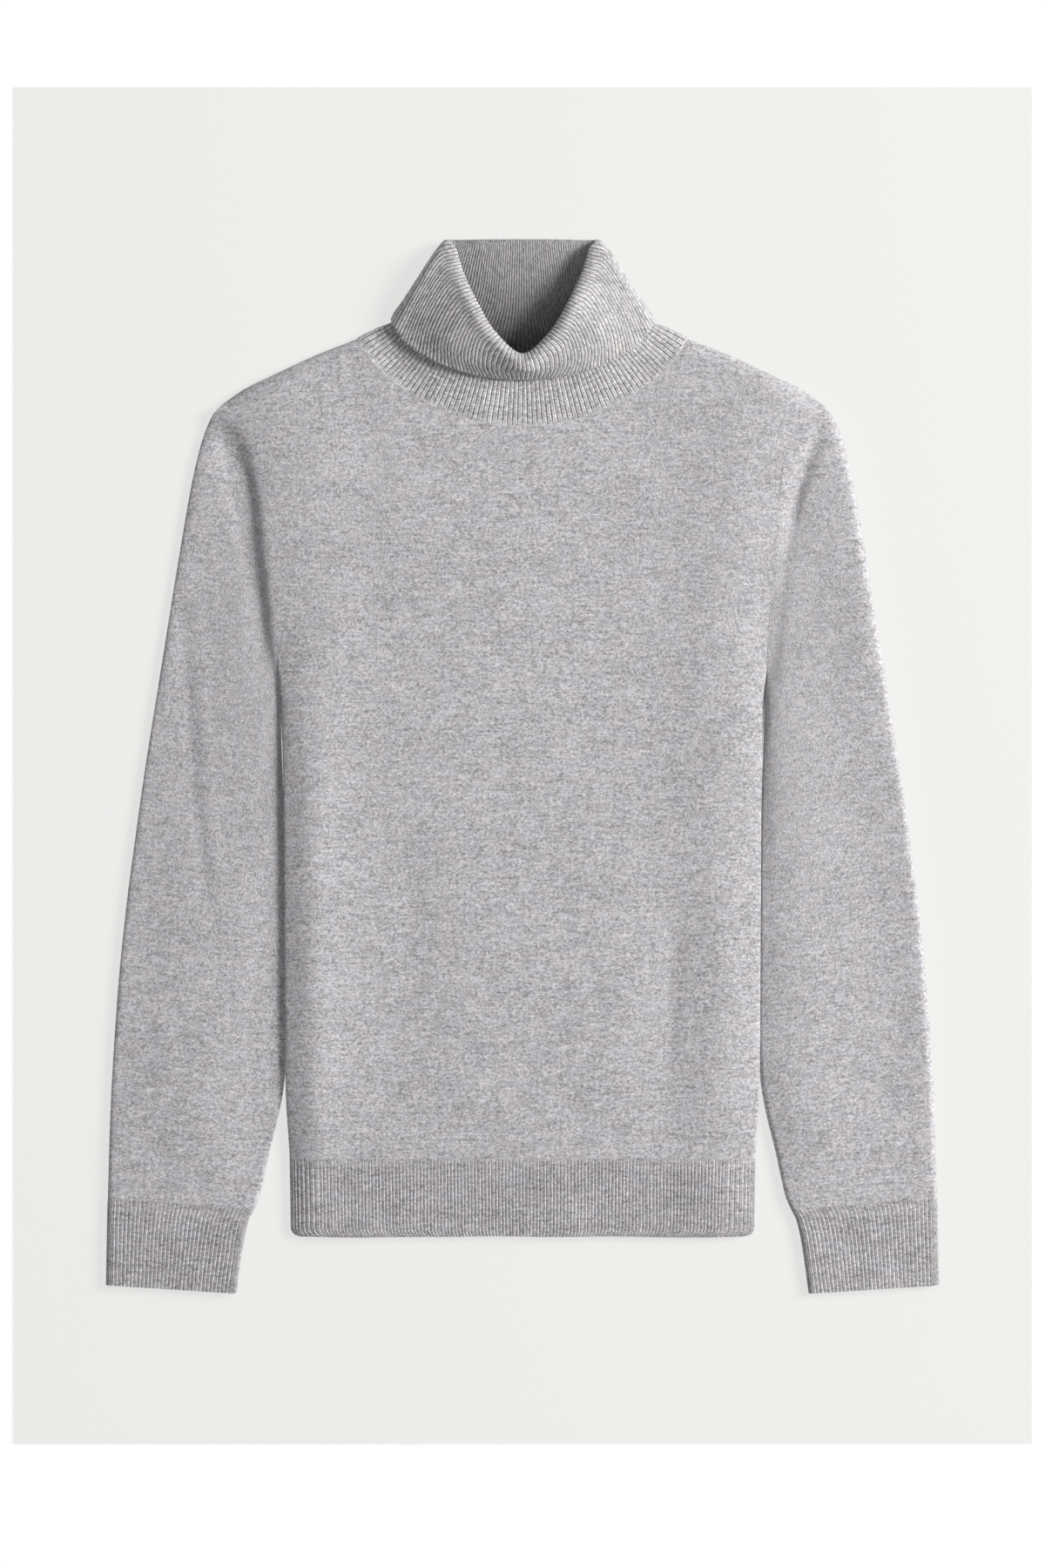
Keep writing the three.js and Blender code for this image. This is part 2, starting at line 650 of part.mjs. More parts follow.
// A point beside a plan curve, off it to the outside of the garment's neck
function beside(curve, share, off) {
  const point = curve.getPointAt(share);
  const tangent = curve.getTangentAt(share);
  return new THREE.Vector2(point.x + tangent.y * off, point.y - tangent.x * off);
}

function collarFrontPlan(ring, share) {
  const neck = beside(necklineCurve, share, -1.9 * SEAM_GAP);
  const edge = rollEdgeCurve.getPointAt(share);
  if (ring.kind === "seam") return neck;
  if (ring.kind === "band") return neck.lerp(edge, ring.along);
  if (ring.kind === "edge") return edge;
  if (ring.kind === "throat") return beside(throatCurve, share, ring.off);
  if (ring.kind === "stand") return edge.lerp(beside(throatCurve, share, 3), ring.along);
  const bulge = ROLL_BULGE * Math.sin(share * Math.PI) ** 0.8;
  const outward = beside(throatCurve, share, 1).sub(beside(throatCurve, share, 0));
  return edge.lerp(beside(throatCurve, share, 10), ring.along).addScaledVector(outward, bulge);
}

// Height of the front's edge along the neckline
function necklineHigh(out) {
  const fold = foldHigh(SHOULDER_UP);
  const front = frontHigh(out, necklineUp(out), SHOULDER_OUT);
  return fold + (front - fold) * roundRise((NECK_OUT - out) / NECK_CORNER_ROUND);
}

function collarStation(ring, turn) {
  const share = Math.abs(turn);
  const [sideX, sideUp, sideHigh] = ring.side;
  const [backUp, backHigh] = ring.back;
  let point = new THREE.Vector3(sideX, sideUp, sideHigh);
  if (share < 1) {
    const plan = collarFrontPlan(ring, share);
    const [front, quarter, near] = ring.high;
    let high = share < 0.5
      ? THREE.MathUtils.lerp(front, quarter, share * 2)
      : THREE.MathUtils.lerp(quarter, near, (share - 0.5) / 0.43);
    if (ring.kind === "seam") high = necklineHigh(plan.x) - RIB / 2;
    point = new THREE.Vector3(plan.x, plan.y, high);
  } else if (share > 1) {
    const left = 2 - share;
    const up = backUp + (sideUp - backUp) * left ** (ring.kind === "edge" ? 6 : 2);
    point = new THREE.Vector3(sideX * left, up, backHigh);
  }
  point.x *= Math.sign(turn);
  return point;
}

const collarTurns = [
  ...COLLAR_STATIONS.slice(1, -1).map((turn) => -turn).reverse(),
  ...COLLAR_STATIONS,
];
const collarRings = COLLAR_RINGS.map((ring) => {
  const points = collarTurns.map((turn) => collarStation(ring, turn));
  return new THREE.CatmullRomCurve3(points, true, "centripetal");
});

function collarPoint(turn, row) {
  const wrapped = THREE.MathUtils.euclideanModulo(turn + COLLAR_STATIONS.at(-2), 4);
  const starts = collarTurns.map((start) => start + COLLAR_STATIONS.at(-2));
  let i = starts.length - 1;
  while (i > 0 && wrapped < starts[i]) i -= 1;
  const next = i + 1 < starts.length ? starts[i + 1] : 4;
  const share = (i + (wrapped - starts[i]) / (next - starts[i])) / starts.length;
  const points = collarRings.map((ring) => ring.getPoint(share));
  const profile = new THREE.CatmullRomCurve3(points, false, "centripetal");
  const last = points.length - 1;
  const at = THREE.MathUtils.clamp(row, 0, last) / last;
  const point = profile.getPoint(at);
  if (row !== at * last) point.addScaledVector(profile.getTangent(at), row - at * last);
  point.z = Math.max(point.z, RIB / 2);
  return point;
}

function collarPhase(turn) {
  const share = Math.abs(turn);
  const front = COLLAR_FRONT_RIBS / 2;
  return share <= 1 ? share * front : front + (share - 1) * COLLAR_BACK_RIBS / 2;
}

const between = (value, low, high) => value >= low && value <= high;

function rollCollar() {
  const quarter = [...evenly(0, 0.9, 9), 0.95, 1, 1.05, ...evenly(1.1, 2, 8)];
  const plainTurns = [...quarter.slice(1).map((turn) => -turn).reverse(), ...quarter.slice(0, -1)];
  const frontRibbed = [
    ...plainTurns.filter((turn) => turn < -1),
    ...evenly(-1, 1, 2 * COLLAR_FRONT_RIBS),
    ...plainTurns.filter((turn) => turn > 1),
  ];
  const backRibbed = [
    ...evenly(-2, -1, COLLAR_BACK_RIBS),
    ...plainTurns.filter((turn) => Math.abs(turn) < 1),
    ...evenly(1, 2, COLLAR_BACK_RIBS).slice(0, -1),
  ];
  const outerRibs = (turn, row) => Math.abs(turn) < 1 && row <= 2;
  const innerRibs = (turn, row) => (Math.abs(turn) < 1
    ? row >= 5
    : between(row, 3, 5) && Math.abs(turn) > 1.05);
  const rows = COLLAR_RINGS.map((ring, row) => ({
    up: row,
    outer: row <= 2 ? frontRibbed : plainTurns,
    inner: row > 5 ? frontRibbed : between(row, 3, 4) ? backRibbed : row === 5
      ? [...backRibbed.filter((t) => t < -1), ...evenly(-1, 1, 2 * COLLAR_FRONT_RIBS),
        ...backRibbed.filter((t) => t > 1)]
      : plainTurns,
  }));
  const side = (sign, isRibbed) => {
    const skin = raised(collarPoint, (turn, row) =>
      sign * (RIB / 2 + (isRibbed(turn, row) ? ribRaise(collarPhase(turn)) : 0)));
    return (turn, row) => {
      const point = skin(turn, row);
      point.z = Math.max(point.z, 0);
      return point;
    };
  };
  return clothWall({ outside: side(1, outerRibs), inside: side(-1, innerRibs), rows, period: 4 });
}

// The garment

const jerseyGrey = 0xb7b5b9;
const ribGrey = 0xa4a2a5;
const garment = new THREE.Group();

function add(name, geometry, color) {
  const material = new THREE.MeshStandardMaterial({ color, roughness: 0.95, metalness: 0 });
  const mesh = new THREE.Mesh(geometry, material);
  mesh.name = name;
  garment.add(mesh);
}

const sleeveRight = sleeve();
const cuffRight = cuff();
add("body_front", bodyPanel(true, FRONT_ROWS, 5, 3), jerseyGrey);
add("body_back", bodyPanel(false, BACK_ROWS, 3, 2), jerseyGrey);
add("hem_rib_front", hemRib(true), ribGrey);
add("hem_rib_back", hemRib(false), ribGrey);
add("sleeve_right", sleeveRight, jerseyGrey);
add("sleeve_left", mirrored(sleeveRight), jerseyGrey);
add("cuff_right", cuffRight, ribGrey);
add("cuff_left", mirrored(cuffRight), ribGrey);
add("roll_collar", rollCollar(), ribGrey);

// The origin is under the middle of the whole garment, on the surface it lies on
const box = new THREE.Box3().setFromObject(garment);
const middle = box.getCenter(new THREE.Vector3());
garment.position.set(-middle.x, -middle.y, -box.min.z);

const part = new THREE.Group();
part.add(garment);

export default part;
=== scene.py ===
import math
from bisect import bisect_right

import bmesh
import bpy
from mathutils import Euler, Matrix, Vector, noise


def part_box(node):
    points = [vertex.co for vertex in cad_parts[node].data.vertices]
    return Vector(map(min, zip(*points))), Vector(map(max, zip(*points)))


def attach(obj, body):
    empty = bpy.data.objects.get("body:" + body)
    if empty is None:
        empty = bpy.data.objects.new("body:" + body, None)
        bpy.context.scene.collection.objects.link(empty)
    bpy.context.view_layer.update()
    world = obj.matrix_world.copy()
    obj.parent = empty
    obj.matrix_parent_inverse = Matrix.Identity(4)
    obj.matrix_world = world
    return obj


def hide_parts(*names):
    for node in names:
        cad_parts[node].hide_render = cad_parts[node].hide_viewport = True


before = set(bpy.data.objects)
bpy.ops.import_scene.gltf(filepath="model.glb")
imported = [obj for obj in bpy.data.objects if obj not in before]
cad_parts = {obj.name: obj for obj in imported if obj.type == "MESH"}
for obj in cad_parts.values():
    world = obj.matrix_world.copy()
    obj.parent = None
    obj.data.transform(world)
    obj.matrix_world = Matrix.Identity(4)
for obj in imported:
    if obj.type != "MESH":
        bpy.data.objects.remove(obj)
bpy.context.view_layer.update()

# The setting: the sweater lies on a sheet of pale grey paper, on a white floor. A soft studio
# light stands to its right and a pale room fills the rest, and the camera looks straight down
# from high above.
MM = 0.001
PIXEL = 0.65 * MM
PHOTO_WIDE, PHOTO_HIGH = 1200, 1800
HEM_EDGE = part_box("hem_rib_back")[0].y
PHOTO_MIDDLE = HEM_EDGE + (1418.6 - PHOTO_HIGH / 2) * PIXEL
CAMERA_HIGH = 3.4
PAPER_LEFT, PAPER_RIGHT, PAPER_TOP, PAPER_BOTTOM = 15, 1185, 100, 1658
PAPER_COLOUR = (0.815, 0.815, 0.798)
FLOOR_COLOUR = (1.0, 1.0, 1.0)
FLOOR_GLOW = 0.8

scene = bpy.context.scene
scene.view_settings.view_transform = "Standard"

camera = bpy.data.objects.new("camera", bpy.data.cameras.new("camera"))
camera.data.lens = camera.data.sensor_width * CAMERA_HIGH / (PHOTO_HIGH * PIXEL)
camera.location = (0, PHOTO_MIDDLE, CAMERA_HIGH)
scene.collection.objects.link(camera)
scene.camera = camera


def light(name, kind, energy, colour, turned, away=0.0):
    """A lamp that is turned to the middle and stands so far away from it."""
    lamp = bpy.data.objects.new(name, bpy.data.lights.new(name, kind))
    lamp.data.energy = energy
    lamp.data.color = colour
    lamp.rotation_euler = Euler([math.radians(angle) for angle in turned])
    lamp.location = lamp.rotation_euler.to_matrix() @ Vector((0, 0, away))
    scene.collection.objects.link(lamp)
    return lamp


key = light("key_light", "AREA", 268, (1.0, 0.995, 0.985), (-13, 57, 0), away=4.5)
key.data.shape = "DISK"
key.data.size = 1.9
fill = light("fill_light", "SUN", 0.35, (0.99, 0.995, 1.0), (26, -12, 0))
fill.data.angle = math.radians(50)
room = bpy.data.worlds.new("room")
room.use_nodes = True
room.node_tree.nodes["Background"].inputs["Color"].default_value = (0.98, 0.985, 1.0, 1)
room.node_tree.nodes["Background"].inputs["Strength"].default_value = 0.22
scene.world = room


class Value:
    """A number, colour or direction in a material. Sums written in Python add its nodes."""

    def __init__(self, look, socket):
        self.look = look
        self.socket = socket

    def _sum(self, operation, first, second=0.0):
        return self.look.node("ShaderNodeMath", {"operation": operation}, {0: first, 1: second})

    def __add__(self, other):
        return self._sum("ADD", self, other)

    def __radd__(self, other):
        return self._sum("ADD", other, self)

    def __sub__(self, other):
        return self._sum("SUBTRACT", self, other)

    def __rsub__(self, other):
        return self._sum("SUBTRACT", other, self)

    def __mul__(self, other):
        return self._sum("MULTIPLY", self, other)

    def __truediv__(self, other):
        return self._sum("DIVIDE", self, other)

    def __pow__(self, other):
        return self._sum("POWER", self, other)

    def __abs__(self):
        return self._sum("ABSOLUTE", self)

    def sine(self):
        return self._sum("SINE", self)

    def part(self):
        return self._sum("FRACT", self)

    def limited(self, low, high):
        return self.look.node("ShaderNodeClamp", {}, {"Value": self, "Min": low, "Max": high})


class Look:
    """A material with one Principled shader."""

    def __init__(self, name, **fixed):
        self.material = bpy.data.materials.new(name)
        self.material.use_nodes = True
        self.tree = self.material.node_tree
        self.shader = self.tree.nodes["Principled BSDF"]
        for socket, value in fixed.items():
            self.shader.inputs[socket.replace("_", " ")].default_value = value

    def node(self, kind, settings, values, output=0):
        made = self.tree.nodes.new(kind)
        for name, value in settings.items():
            setattr(made, name, value)
        for name, value in values.items():
            self.give(made.inputs[name], value)
        return Value(self, made.outputs[output])

    def give(self, socket, value):
        if isinstance(value, Value):
            self.tree.links.new(value.socket, socket)
        else:
            socket.default_value = value

    def feed(self, name, value):
        self.give(self.shader.inputs[name], value)

    def mix(self, share, first, second):
        """Between two colours."""
        return self.node(
            "ShaderNodeMix", {"data_type": "RGBA"}, {0: share, 6: first, 7: second}, output=2
        )

    def dimmed(self, colour, by):
        """A colour times a number that varies."""
        grey = self.node("ShaderNodeCombineXYZ", {}, {0: by, 1: by, 2: by})
        return self.node("ShaderNodeVectorMath", {"operation": "MULTIPLY"}, {0: colour, 1: grey})


def plain_plane(name, left, right, low, high, level, colour):
    """A flat sheet of the setting."""
    mesh = bmesh.new()
    bmesh.ops.create_grid(mesh, x_segments=1, y_segments=1, size=0.5)
    bmesh.ops.scale(mesh, vec=(right - left, high - low, 1), verts=mesh.verts)
    middle = Vector(((left + right) / 2, (low + high) / 2, level))
    bmesh.ops.translate(mesh, vec=middle, verts=mesh.verts)
    data = bpy.data.meshes.new(name)
    mesh.to_mesh(data)
    mesh.free()
    sheet = bpy.data.objects.new(name, data)
    scene.collection.objects.link(sheet)
    glow = [value * FLOOR_GLOW for value in colour]
    look = Look(name, Roughness=0.9, Specular_IOR_Level=0.1, Emission_Strength=1.06)
    look.feed("Base Color", (*(value * (1 - FLOOR_GLOW) for value in colour), 1))
    look.feed("Emission Color", (*glow, 1))
    data.materials.append(look.material)


def photo_x(pixel):
    return (pixel - PHOTO_WIDE / 2) * PIXEL


def photo_y(pixel):
    return PHOTO_MIDDLE + (PHOTO_HIGH / 2 - pixel) * PIXEL


plain_plane("floor", -6, 6, -6, 6, -1.2 * MM, FLOOR_COLOUR)
plain_plane(
    "paper", photo_x(PAPER_LEFT), photo_x(PAPER_RIGHT), photo_y(PAPER_BOTTOM), photo_y(PAPER_TOP),
    -0.3 * MM, PAPER_COLOUR,
)

# Body front and back: two panels of plain jersey in fine heathered wool, knitted flat and sewn
# together at the sides. Laid flat, their side seams roll over into folds, and the front is
# domed a little by what lies under it. Lengths from here on are millimetres: up from the edge
# of the hem, out from the middle, and high off the surface.
JERSEY_THICK = 1.1
HEM_DEPTH = 58
ARMPIT_UP = 402
SHOULDER_OUT = 223
SHOULDER_UP = 620.5
NECK_OUT = 124.2
NECK_UP = 668.3
BACK_NECK_DROP = 12
HEM_CORNER = 7
SIDE_ROUND = 22
TOP_ROUND = 12
UNDER_ROUND = 14
ARMPIT_ROUND = 30
NECK_CORNER_ROUND = 10
ROUND_SHARE = 0.13
SEAM_GAP = 0.06
SIDE_RIDGE_HIGH = 3.4
SIDE_RIDGE_IN = 27
SIDE_RIDGE_REACH = 32
WALE = 1.5
COURSE = 1.2
JERSEY_COLOUR = (0.535, 0.521, 0.54)


def reader(table):
    """A smooth curve through pairs of place and value, read at any place."""
    at = [place for place, value in table]
    value = [value for place, value in table]
    last = len(table) - 1
    slope = []
    for i in range(last + 1):
        before, after = max(0, i - 1), min(last, i + 1)
        slope.append((value[after] - value[before]) / (at[after] - at[before]))

    def read(x):
        i = min(max(bisect_right(at, x) - 1, 0), last - 1)
        span = at[i + 1] - at[i]
        f = min(max((x - at[i]) / span, 0), 1)
        ease = f * f * (3 - 2 * f)
        bend = f * (1 - f) * span * ((1 - f) * slope[i] - f * slope[i + 1])
        return value[i] * (1 - ease) + value[i + 1] * ease + bend

    return read


body_half = reader([
    (0, 172.6), (58, 173.6), (109, 176.5), (232, 177.5), (337, 178.3), (402, 180.5),
    (467, 184.6), (506, 187.8), (540, 190.4), (567, 193.2), (581, 195.8), (592, 199.6),
    (606, 207.4), (620.5, 223),
])
fold_high = reader([
    (0, 3.2), (58, 4.1), (109, 5.4), (232, 6.2), (337, 6.0), (402, 4.2), (467, 3.5),
])
armhole_lift = reader([
    (402, 0.4), (430, 0.62), (467, 0.88), (500, 0.96), (545, 1), (600, 1), (620.5, 1),
])
armhole_soft = reader([
    (402, 0), (430, 0.35), (467, 0.65), (500, 0.85), (545, 1), (600, 1), (620.5, 1),
])
middle_high = reader([(0, 6.3), (58, 6.7), (120, 7.2), (450, 7.4), (560, 8.2), (640, 9.2)])
NECKLINE = [
    (0, 603.6), (23, 604.8), (45, 609.8), (65, 617.6), (89, 631), (108, 647), (NECK_OUT, NECK_UP),
]
neckline_up = reader(NECKLINE)
shoulder_up = reader([
    (NECK_OUT, NECK_UP), (153.4, 656.9), (187, 641.3), (208, 631), (SHOULDER_OUT, SHOULDER_UP),
])
# Soft swells and troughs of the front: x, up, reach across, reach up, height
BODY_SWELLS = [
    (110, 175, 24, 105, -1.5), (-82, 250, 17, 70, -0.9), (72, 190, 26, 120, 0.7),
    (-128, 470, 24, 70, 0.9), (135, 470, 24, 70, 1.1),
]


def clamp(value):
    return min(max(value, 0.0), 1.0)


def between(low, high, share):
    return low + (high - low) * share


def smooth(value, low, high):
    share = clamp((value - low) / (high - low))
    return share * share * (3 - 2 * share)


def round_rise(way):
    """A quarter ellipse: upright at an edge, level when the way in is 1."""
    return math.sqrt(1 - (1 - clamp(way)) ** 2)


def swell(value, reach):
    return math.exp(-((value / reach) ** 2))


def brink(way, soft, edge_lift):
    """Share of the rounded strip passed and of the height reached on the way in from an edge."""
    if way >= 1:
        return 1.0, 1.0
    turn = way * math.pi / 2
    inset = between(1 - math.cos(turn), way, soft)
    rise = between(math.sin(turn), way * (2 - way), soft)
    return inset, edge_lift + (1 - edge_lift) * rise


def crease(path, wide, high, fading=0.35):
    """A long soft ridge or trough along a path of (x, up) points, fading at both ends."""
    points = [Vector(point) for point in path]
    spans = list(zip(points, points[1:]))
    length = sum((b - a).length for a, b in spans)

    def rise(x, up):
        best, run, found = 1e9, 0.0, 0.0
        here = Vector((x, up))
        for a, b in spans:
            span = b - a
            share = clamp((here - a).dot(span) / span.length_squared)
            distance = (here - a - span * share).length
            if distance < best:
                best, found = distance, run + share * span.length
            run += span.length
        if best > 3 * wide:
            return 0.0
        fade = smooth(found, 0, length * fading) * smooth(length - found, 0, length * fading)
        return high * fade * swell(best, wide)

    return rise


front_creases = [
    crease([(-154, -60), (-156, 120), (-157, 320), (-160, 480)], 15, 2.6),
    crease([(104, 300), (112, 215), (108, 120), (100, 60)], 9, -0.8),
    crease([(148, 300), (152, 200), (146, 90)], 11, 0.7),
    crease([(-74, 290), (-86, 235), (-92, 170)], 8, -0.45),
    crease([(-176, 430), (-150, 448), (-118, 452)], 9, 0.8),
    crease([(176, 428), (152, 446), (120, 452)], 9, 0.7),
    crease([(-186, 500), (-165, 476), (-150, 440)], 7, -0.5),
    crease([(160, -60), (161, 120), (162, 320), (165, 480)], 15, -0.7),
    crease([(-60, 590), (-92, 560), (-120, 520)], 13, 0.5),
    crease([(62, 588), (95, 556), (122, 514)], 13, 0.5),
]
back_creases = [
    crease([(-60, 560), (-20, 470), (-8, 360)], 10, 0.6),
    crease([(90, 330), (70, 230), (76, 130)], 9, 0.7),
    crease([(-120, 250), (-100, 160), (-104, 90)], 8, 0.5),
    crease([(150, 470), (110, 440), (70, 436)], 9, 0.6),
]


def wander(x, y, scale, seed):
    """A slow uneven drift between -1 and 1."""
    return noise.noise(Vector((x / scale, y / scale, seed)))


def front_high(x, up, half):
    inward = half - abs(x)
    ridge = SIDE_RIDGE_HIGH * swell(inward - SIDE_RIDGE_IN, SIDE_RIDGE_REACH)
    high = middle_high(up) + ridge * min(1, 0.35 + up / 150)
    for place, level, wide, tall, rise in BODY_SWELLS:
        high += rise * swell(x - place, wide) * swell(up - level, tall)
    return high


def top_up(out, is_front):
    if out >= NECK_OUT:
        return shoulder_up(out)
    return neckline_up(out) if is_front else NECK_UP - BACK_NECK_DROP * (1 - (out / NECK_OUT) ** 2)


def edge_lift(up, is_front):
    rise = round_rise((up - ARMPIT_UP) / ARMPIT_ROUND)
    return rise * armhole_lift(up) if is_front else rise


def body_row(across, up, is_front):
    """Where a place across the body lies: how far out, in a row how wide, lifted how much. The
    columns are even at the hem and upright at the neck."""
    strip = SIDE_ROUND if is_front else UNDER_ROUND
    above = up > ARMPIT_UP
    corner = HEM_CORNER * (1 - round_rise(up / HEM_CORNER))
    half = body_half(up) - corner - (SEAM_GAP / 2 if above else 0)
    reach = abs(across)
    soft = armhole_soft(up) if above else 0
    inset, lift = brink((1 - reach) / ROUND_SHARE, soft, edge_lift(up, is_front))
    way_out = min(1, reach / (1 - ROUND_SHARE))
    even = (half - strip) * way_out
    upright = (SHOULDER_OUT - strip) * way_out + (half - SHOULDER_OUT) * way_out ** 3
    level = between(even, upright, smooth(up, HEM_DEPTH, ARMPIT_UP))
    return level + strip * (1 - inset), half, lift


def panel_high(x, up, half, lift, fold, is_front):
    if is_front:
        extra = sum(rise(x, up) for rise in front_creases) + 0.35 * wander(x, up, 60, 3)
        return fold + SEAM_GAP / 2 + (front_high(x, up, half) + extra - fold) * lift
    extra = sum(rise(x, up) for rise in back_creases)
    return (fold - SEAM_GAP / 2) * (1 - lift) + max(0, extra) * lift


def body_point(across, along, is_front):
    start = HEM_DEPTH + SEAM_GAP / 2
    way_down = (1 - along) / ROUND_SHARE
    below = max(0, 1 - along / (1 - ROUND_SHARE))

    def down(length, inset):
        return TOP_ROUND * inset + (length - TOP_ROUND) * below

    side_up = SHOULDER_UP - down(SHOULDER_UP - start, brink(way_down, 0, 0)[0])
    out, half, lift = body_row(across, side_up, is_front)
    top_out = body_row(across, SHOULDER_UP, is_front)[0]
    soft_top = round_rise((NECK_OUT - top_out) / NECK_CORNER_ROUND)
    top = top_up(top_out, is_front)
    inset, top_lift = brink(way_down, soft_top, soft_top)
    up = top - down(top - start, inset)
    x = math.copysign(out, across)
    return Vector((x, up, panel_high(x, up, half, lift * top_lift, fold_high(side_up), is_front)))


def lay_cloth(name, columns, rows, place, look, phase=None, ribs=None, thick=0.0, ring=False):
    """Cloth from a grid whose points are moved to where place(i, j) says, in millimetres, and
    then out by ribs(i, j). Its cloth map counts wales across, or the ribs that phase(i, j)
    gives, and millimetres up. A ring is closed round its columns."""
    mesh = bmesh.new()
    bmesh.ops.create_grid(mesh, x_segments=columns, y_segments=rows, size=1)
    points = [[place(i, j) for i in range(columns + 1)] for j in range(rows + 1)]
    span = [[0.0] * (columns + 1) for j in range(rows + 1)]
    rise = [[0.0] * (columns + 1) for j in range(rows + 1)]
    for j in range(rows + 1):
        for i in range(columns + 1):
            if i:
                span[j][i] = span[j][i - 1] + (points[j][i] - points[j][i - 1]).length
            if j:
                rise[j][i] = rise[j - 1][i] + (points[j][i] - points[j - 1][i]).length
    spots = {}
    for vertex in mesh.verts:
        i = round((vertex.co.x + 1) / 2 * columns)
        j = round((vertex.co.y + 1) / 2 * rows)
        spots[vertex] = (i, j)
    for edge in mesh.edges:
        edge.smooth = not edge.is_boundary
    layer = mesh.loops.layers.uv.new("cloth")
    for face in mesh.faces:
        face.smooth = True
        for loop in face.loops:
            i, j = spots[loop.vert]
            across = phase(i, j) if phase else (span[j][i] - span[j][-1] / 2) / WALE
            loop[layer].uv = (across, rise[j][i])
    for vertex, (i, j) in spots.items():
        point = points[j][i]
        if ribs:
            point = point + facing(points, i, j, ring) * ribs(i, j)
        vertex.co = (point.x * MM, point.y * MM + HEM_EDGE, max(point.z, 0) * MM)
    if ring:
        bmesh.ops.remove_doubles(mesh, verts=mesh.verts, dist=0.002 * MM)
    data = bpy.data.meshes.new(name)
    mesh.to_mesh(data)
    mesh.free()
    piece = bpy.data.objects.new(name, data)
    scene.collection.objects.link(piece)
    data.materials.append(look.material)
    if thick:
        shell = piece.modifiers.new("thickness", "SOLIDIFY")
        shell.thickness = thick * MM
        shell.offset = -1
    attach(piece, "root")
    return piece


def facing(points, i, j, ring):
    """The way out of the cloth at a point of its grid."""
    rows, columns = len(points) - 1, len(points[0]) - 1
    before, after = max(i - 1, 0), min(i + 1, columns)
    if ring and i in (0, columns):
        before, after = columns - 1, 1
    across = points[j][after] - points[j][before]
    up = points[min(j + 1, rows)][i] - points[max(j - 1, 0)][i]
    return across.cross(up).normalized()


def knit_look(name, colour, wale_mm, course_mm, furrow_shade=0.0, seam_at=0.0, fade=1.0, shade=None):
    """Heathered knit. The cloth map's x counts wales or ribs, and its y is millimetres.
    furrow_shade is how dark the painted shade in the furrows between ribs is, and it fades out
    within fade of the seam. shade is painted shade that darkens it by place."""
    look = Look(
        name, Roughness=0.92, Specular_IOR_Level=0.2, Sheen_Weight=0.15, Sheen_Roughness=0.5,
    )
    cloth = look.node("ShaderNodeUVMap", {"uv_map": "cloth"}, {})
    x = look.node("ShaderNodeSeparateXYZ", {}, {"Vector": cloth}, output=0)
    y = look.node("ShaderNodeSeparateXYZ", {}, {"Vector": cloth}, output=1)

    def grain(wide, tall, detail, seed):
        place = look.node(
            "ShaderNodeCombineXYZ", {}, {0: x * (wale_mm / wide), 1: y / tall, 2: seed}
        )
        return look.node(
            "ShaderNodeTexNoise", {"noise_dimensions": "3D"},
            {"Vector": place, "Scale": 1.0, "Detail": detail, "Roughness": 0.6},
        )

    # Two legs of each stitch lean outwards, and every course starts anew
    shake = grain(wide=5, tall=5, detail=1, seed=3.1)
    column = (x + shake * 0.22).part() - 0.5
    leg = abs(column)
    course = (y / course_mm + leg * 1.3 + shake * 0.9).part()
    round_leg = (leg * (2 * math.pi)).sine()
    stitch = round_leg * (1 - abs(course * 2 - 1) ** 2.5)

    # Heather: the yarn's light and dark flecks, streaks along the courses and soft blotches
    flecks = grain(wide=1.8, tall=1.5, detail=3, seed=20.5)
    streaks = grain(wide=14, tall=2.1, detail=3, seed=7.7)
    blotches = grain(wide=48, tall=26, detail=2, seed=12.4)
    tint = grain(wide=22, tall=12, detail=2, seed=31.0)
    light_and_dark = (
        1 + (flecks - 0.5) * 2.4 + (streaks - 0.5) * 0.85 + (blotches - 0.5) * 0.26
        + (stitch - 0.45) * 0.16
    )
    # Painted shade: the furrows between ribs are darkened in the colour, as shade falls in them.
    if furrow_shade:
        broken = grain(wide=3, tall=4.5, detail=2, seed=44.0)
        furrow = (1 - abs((x.part() - 0.5) * 2)) * 3.1
        depth = (1 - furrow.limited(0, 1)) * (broken * 0.9 + 0.55) * furrow_shade
        from_seam = (abs(y - seam_at) / fade).limited(0, 1)
        light_and_dark = light_and_dark * (1 - depth * from_seam)
    # Painted shade by place: the colour is darkened where shade would fall.
    if shade:
        light_and_dark = light_and_dark * shade(look)
    warm = tuple(c * f for c, f in zip(colour, (1.028, 1.0, 0.975)))
    cool = tuple(c * f for c, f in zip(colour, (0.975, 1.0, 1.028)))
    base = look.mix(((tint - 0.5) * 2.4 + 0.5).limited(0, 1), (*cool, 1), (*warm, 1))
    look.feed("Base Color", look.dimmed(base, light_and_dark.limited(0.15, 1.8)))
    raised = look.node(
        "ShaderNodeBump", {}, {
            "Strength": 0.8, "Distance": 0.35 * MM, "Height": stitch * 0.75 + flecks * 0.6,
        },
    )
    look.feed("Normal", raised)
    return look


jersey = knit_look("jersey_knit", JERSEY_COLOUR, WALE, COURSE)


def panel(name, is_front, columns, rows):
    side = 1 if is_front else -1

    def place(i, j):
        return body_point(side * (2 * i / columns - 1), j / rows, is_front)

    piece = lay_cloth(name, columns, rows, place, jersey, thick=JERSEY_THICK)
    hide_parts(name)
    return piece


body_back = panel("body_back", False, 120, 150)
body_front = panel("body_front", True, 150, 200)

# Hem: a ribbed welt under each panel, one rib knitted to each pair of wales above it. Its
# sides and bottom corners roll over like the panels', and its free edge shows the rib's end.
RIB_THICK = 1.1
RIB_RAISE = 0.48
HEM_RIBS = 136
RIB_COLUMNS = 6
RIB_PITCH = 2.5
RIB_COURSE = 1.25
RIB_COLOUR = (0.475, 0.458, 0.471)

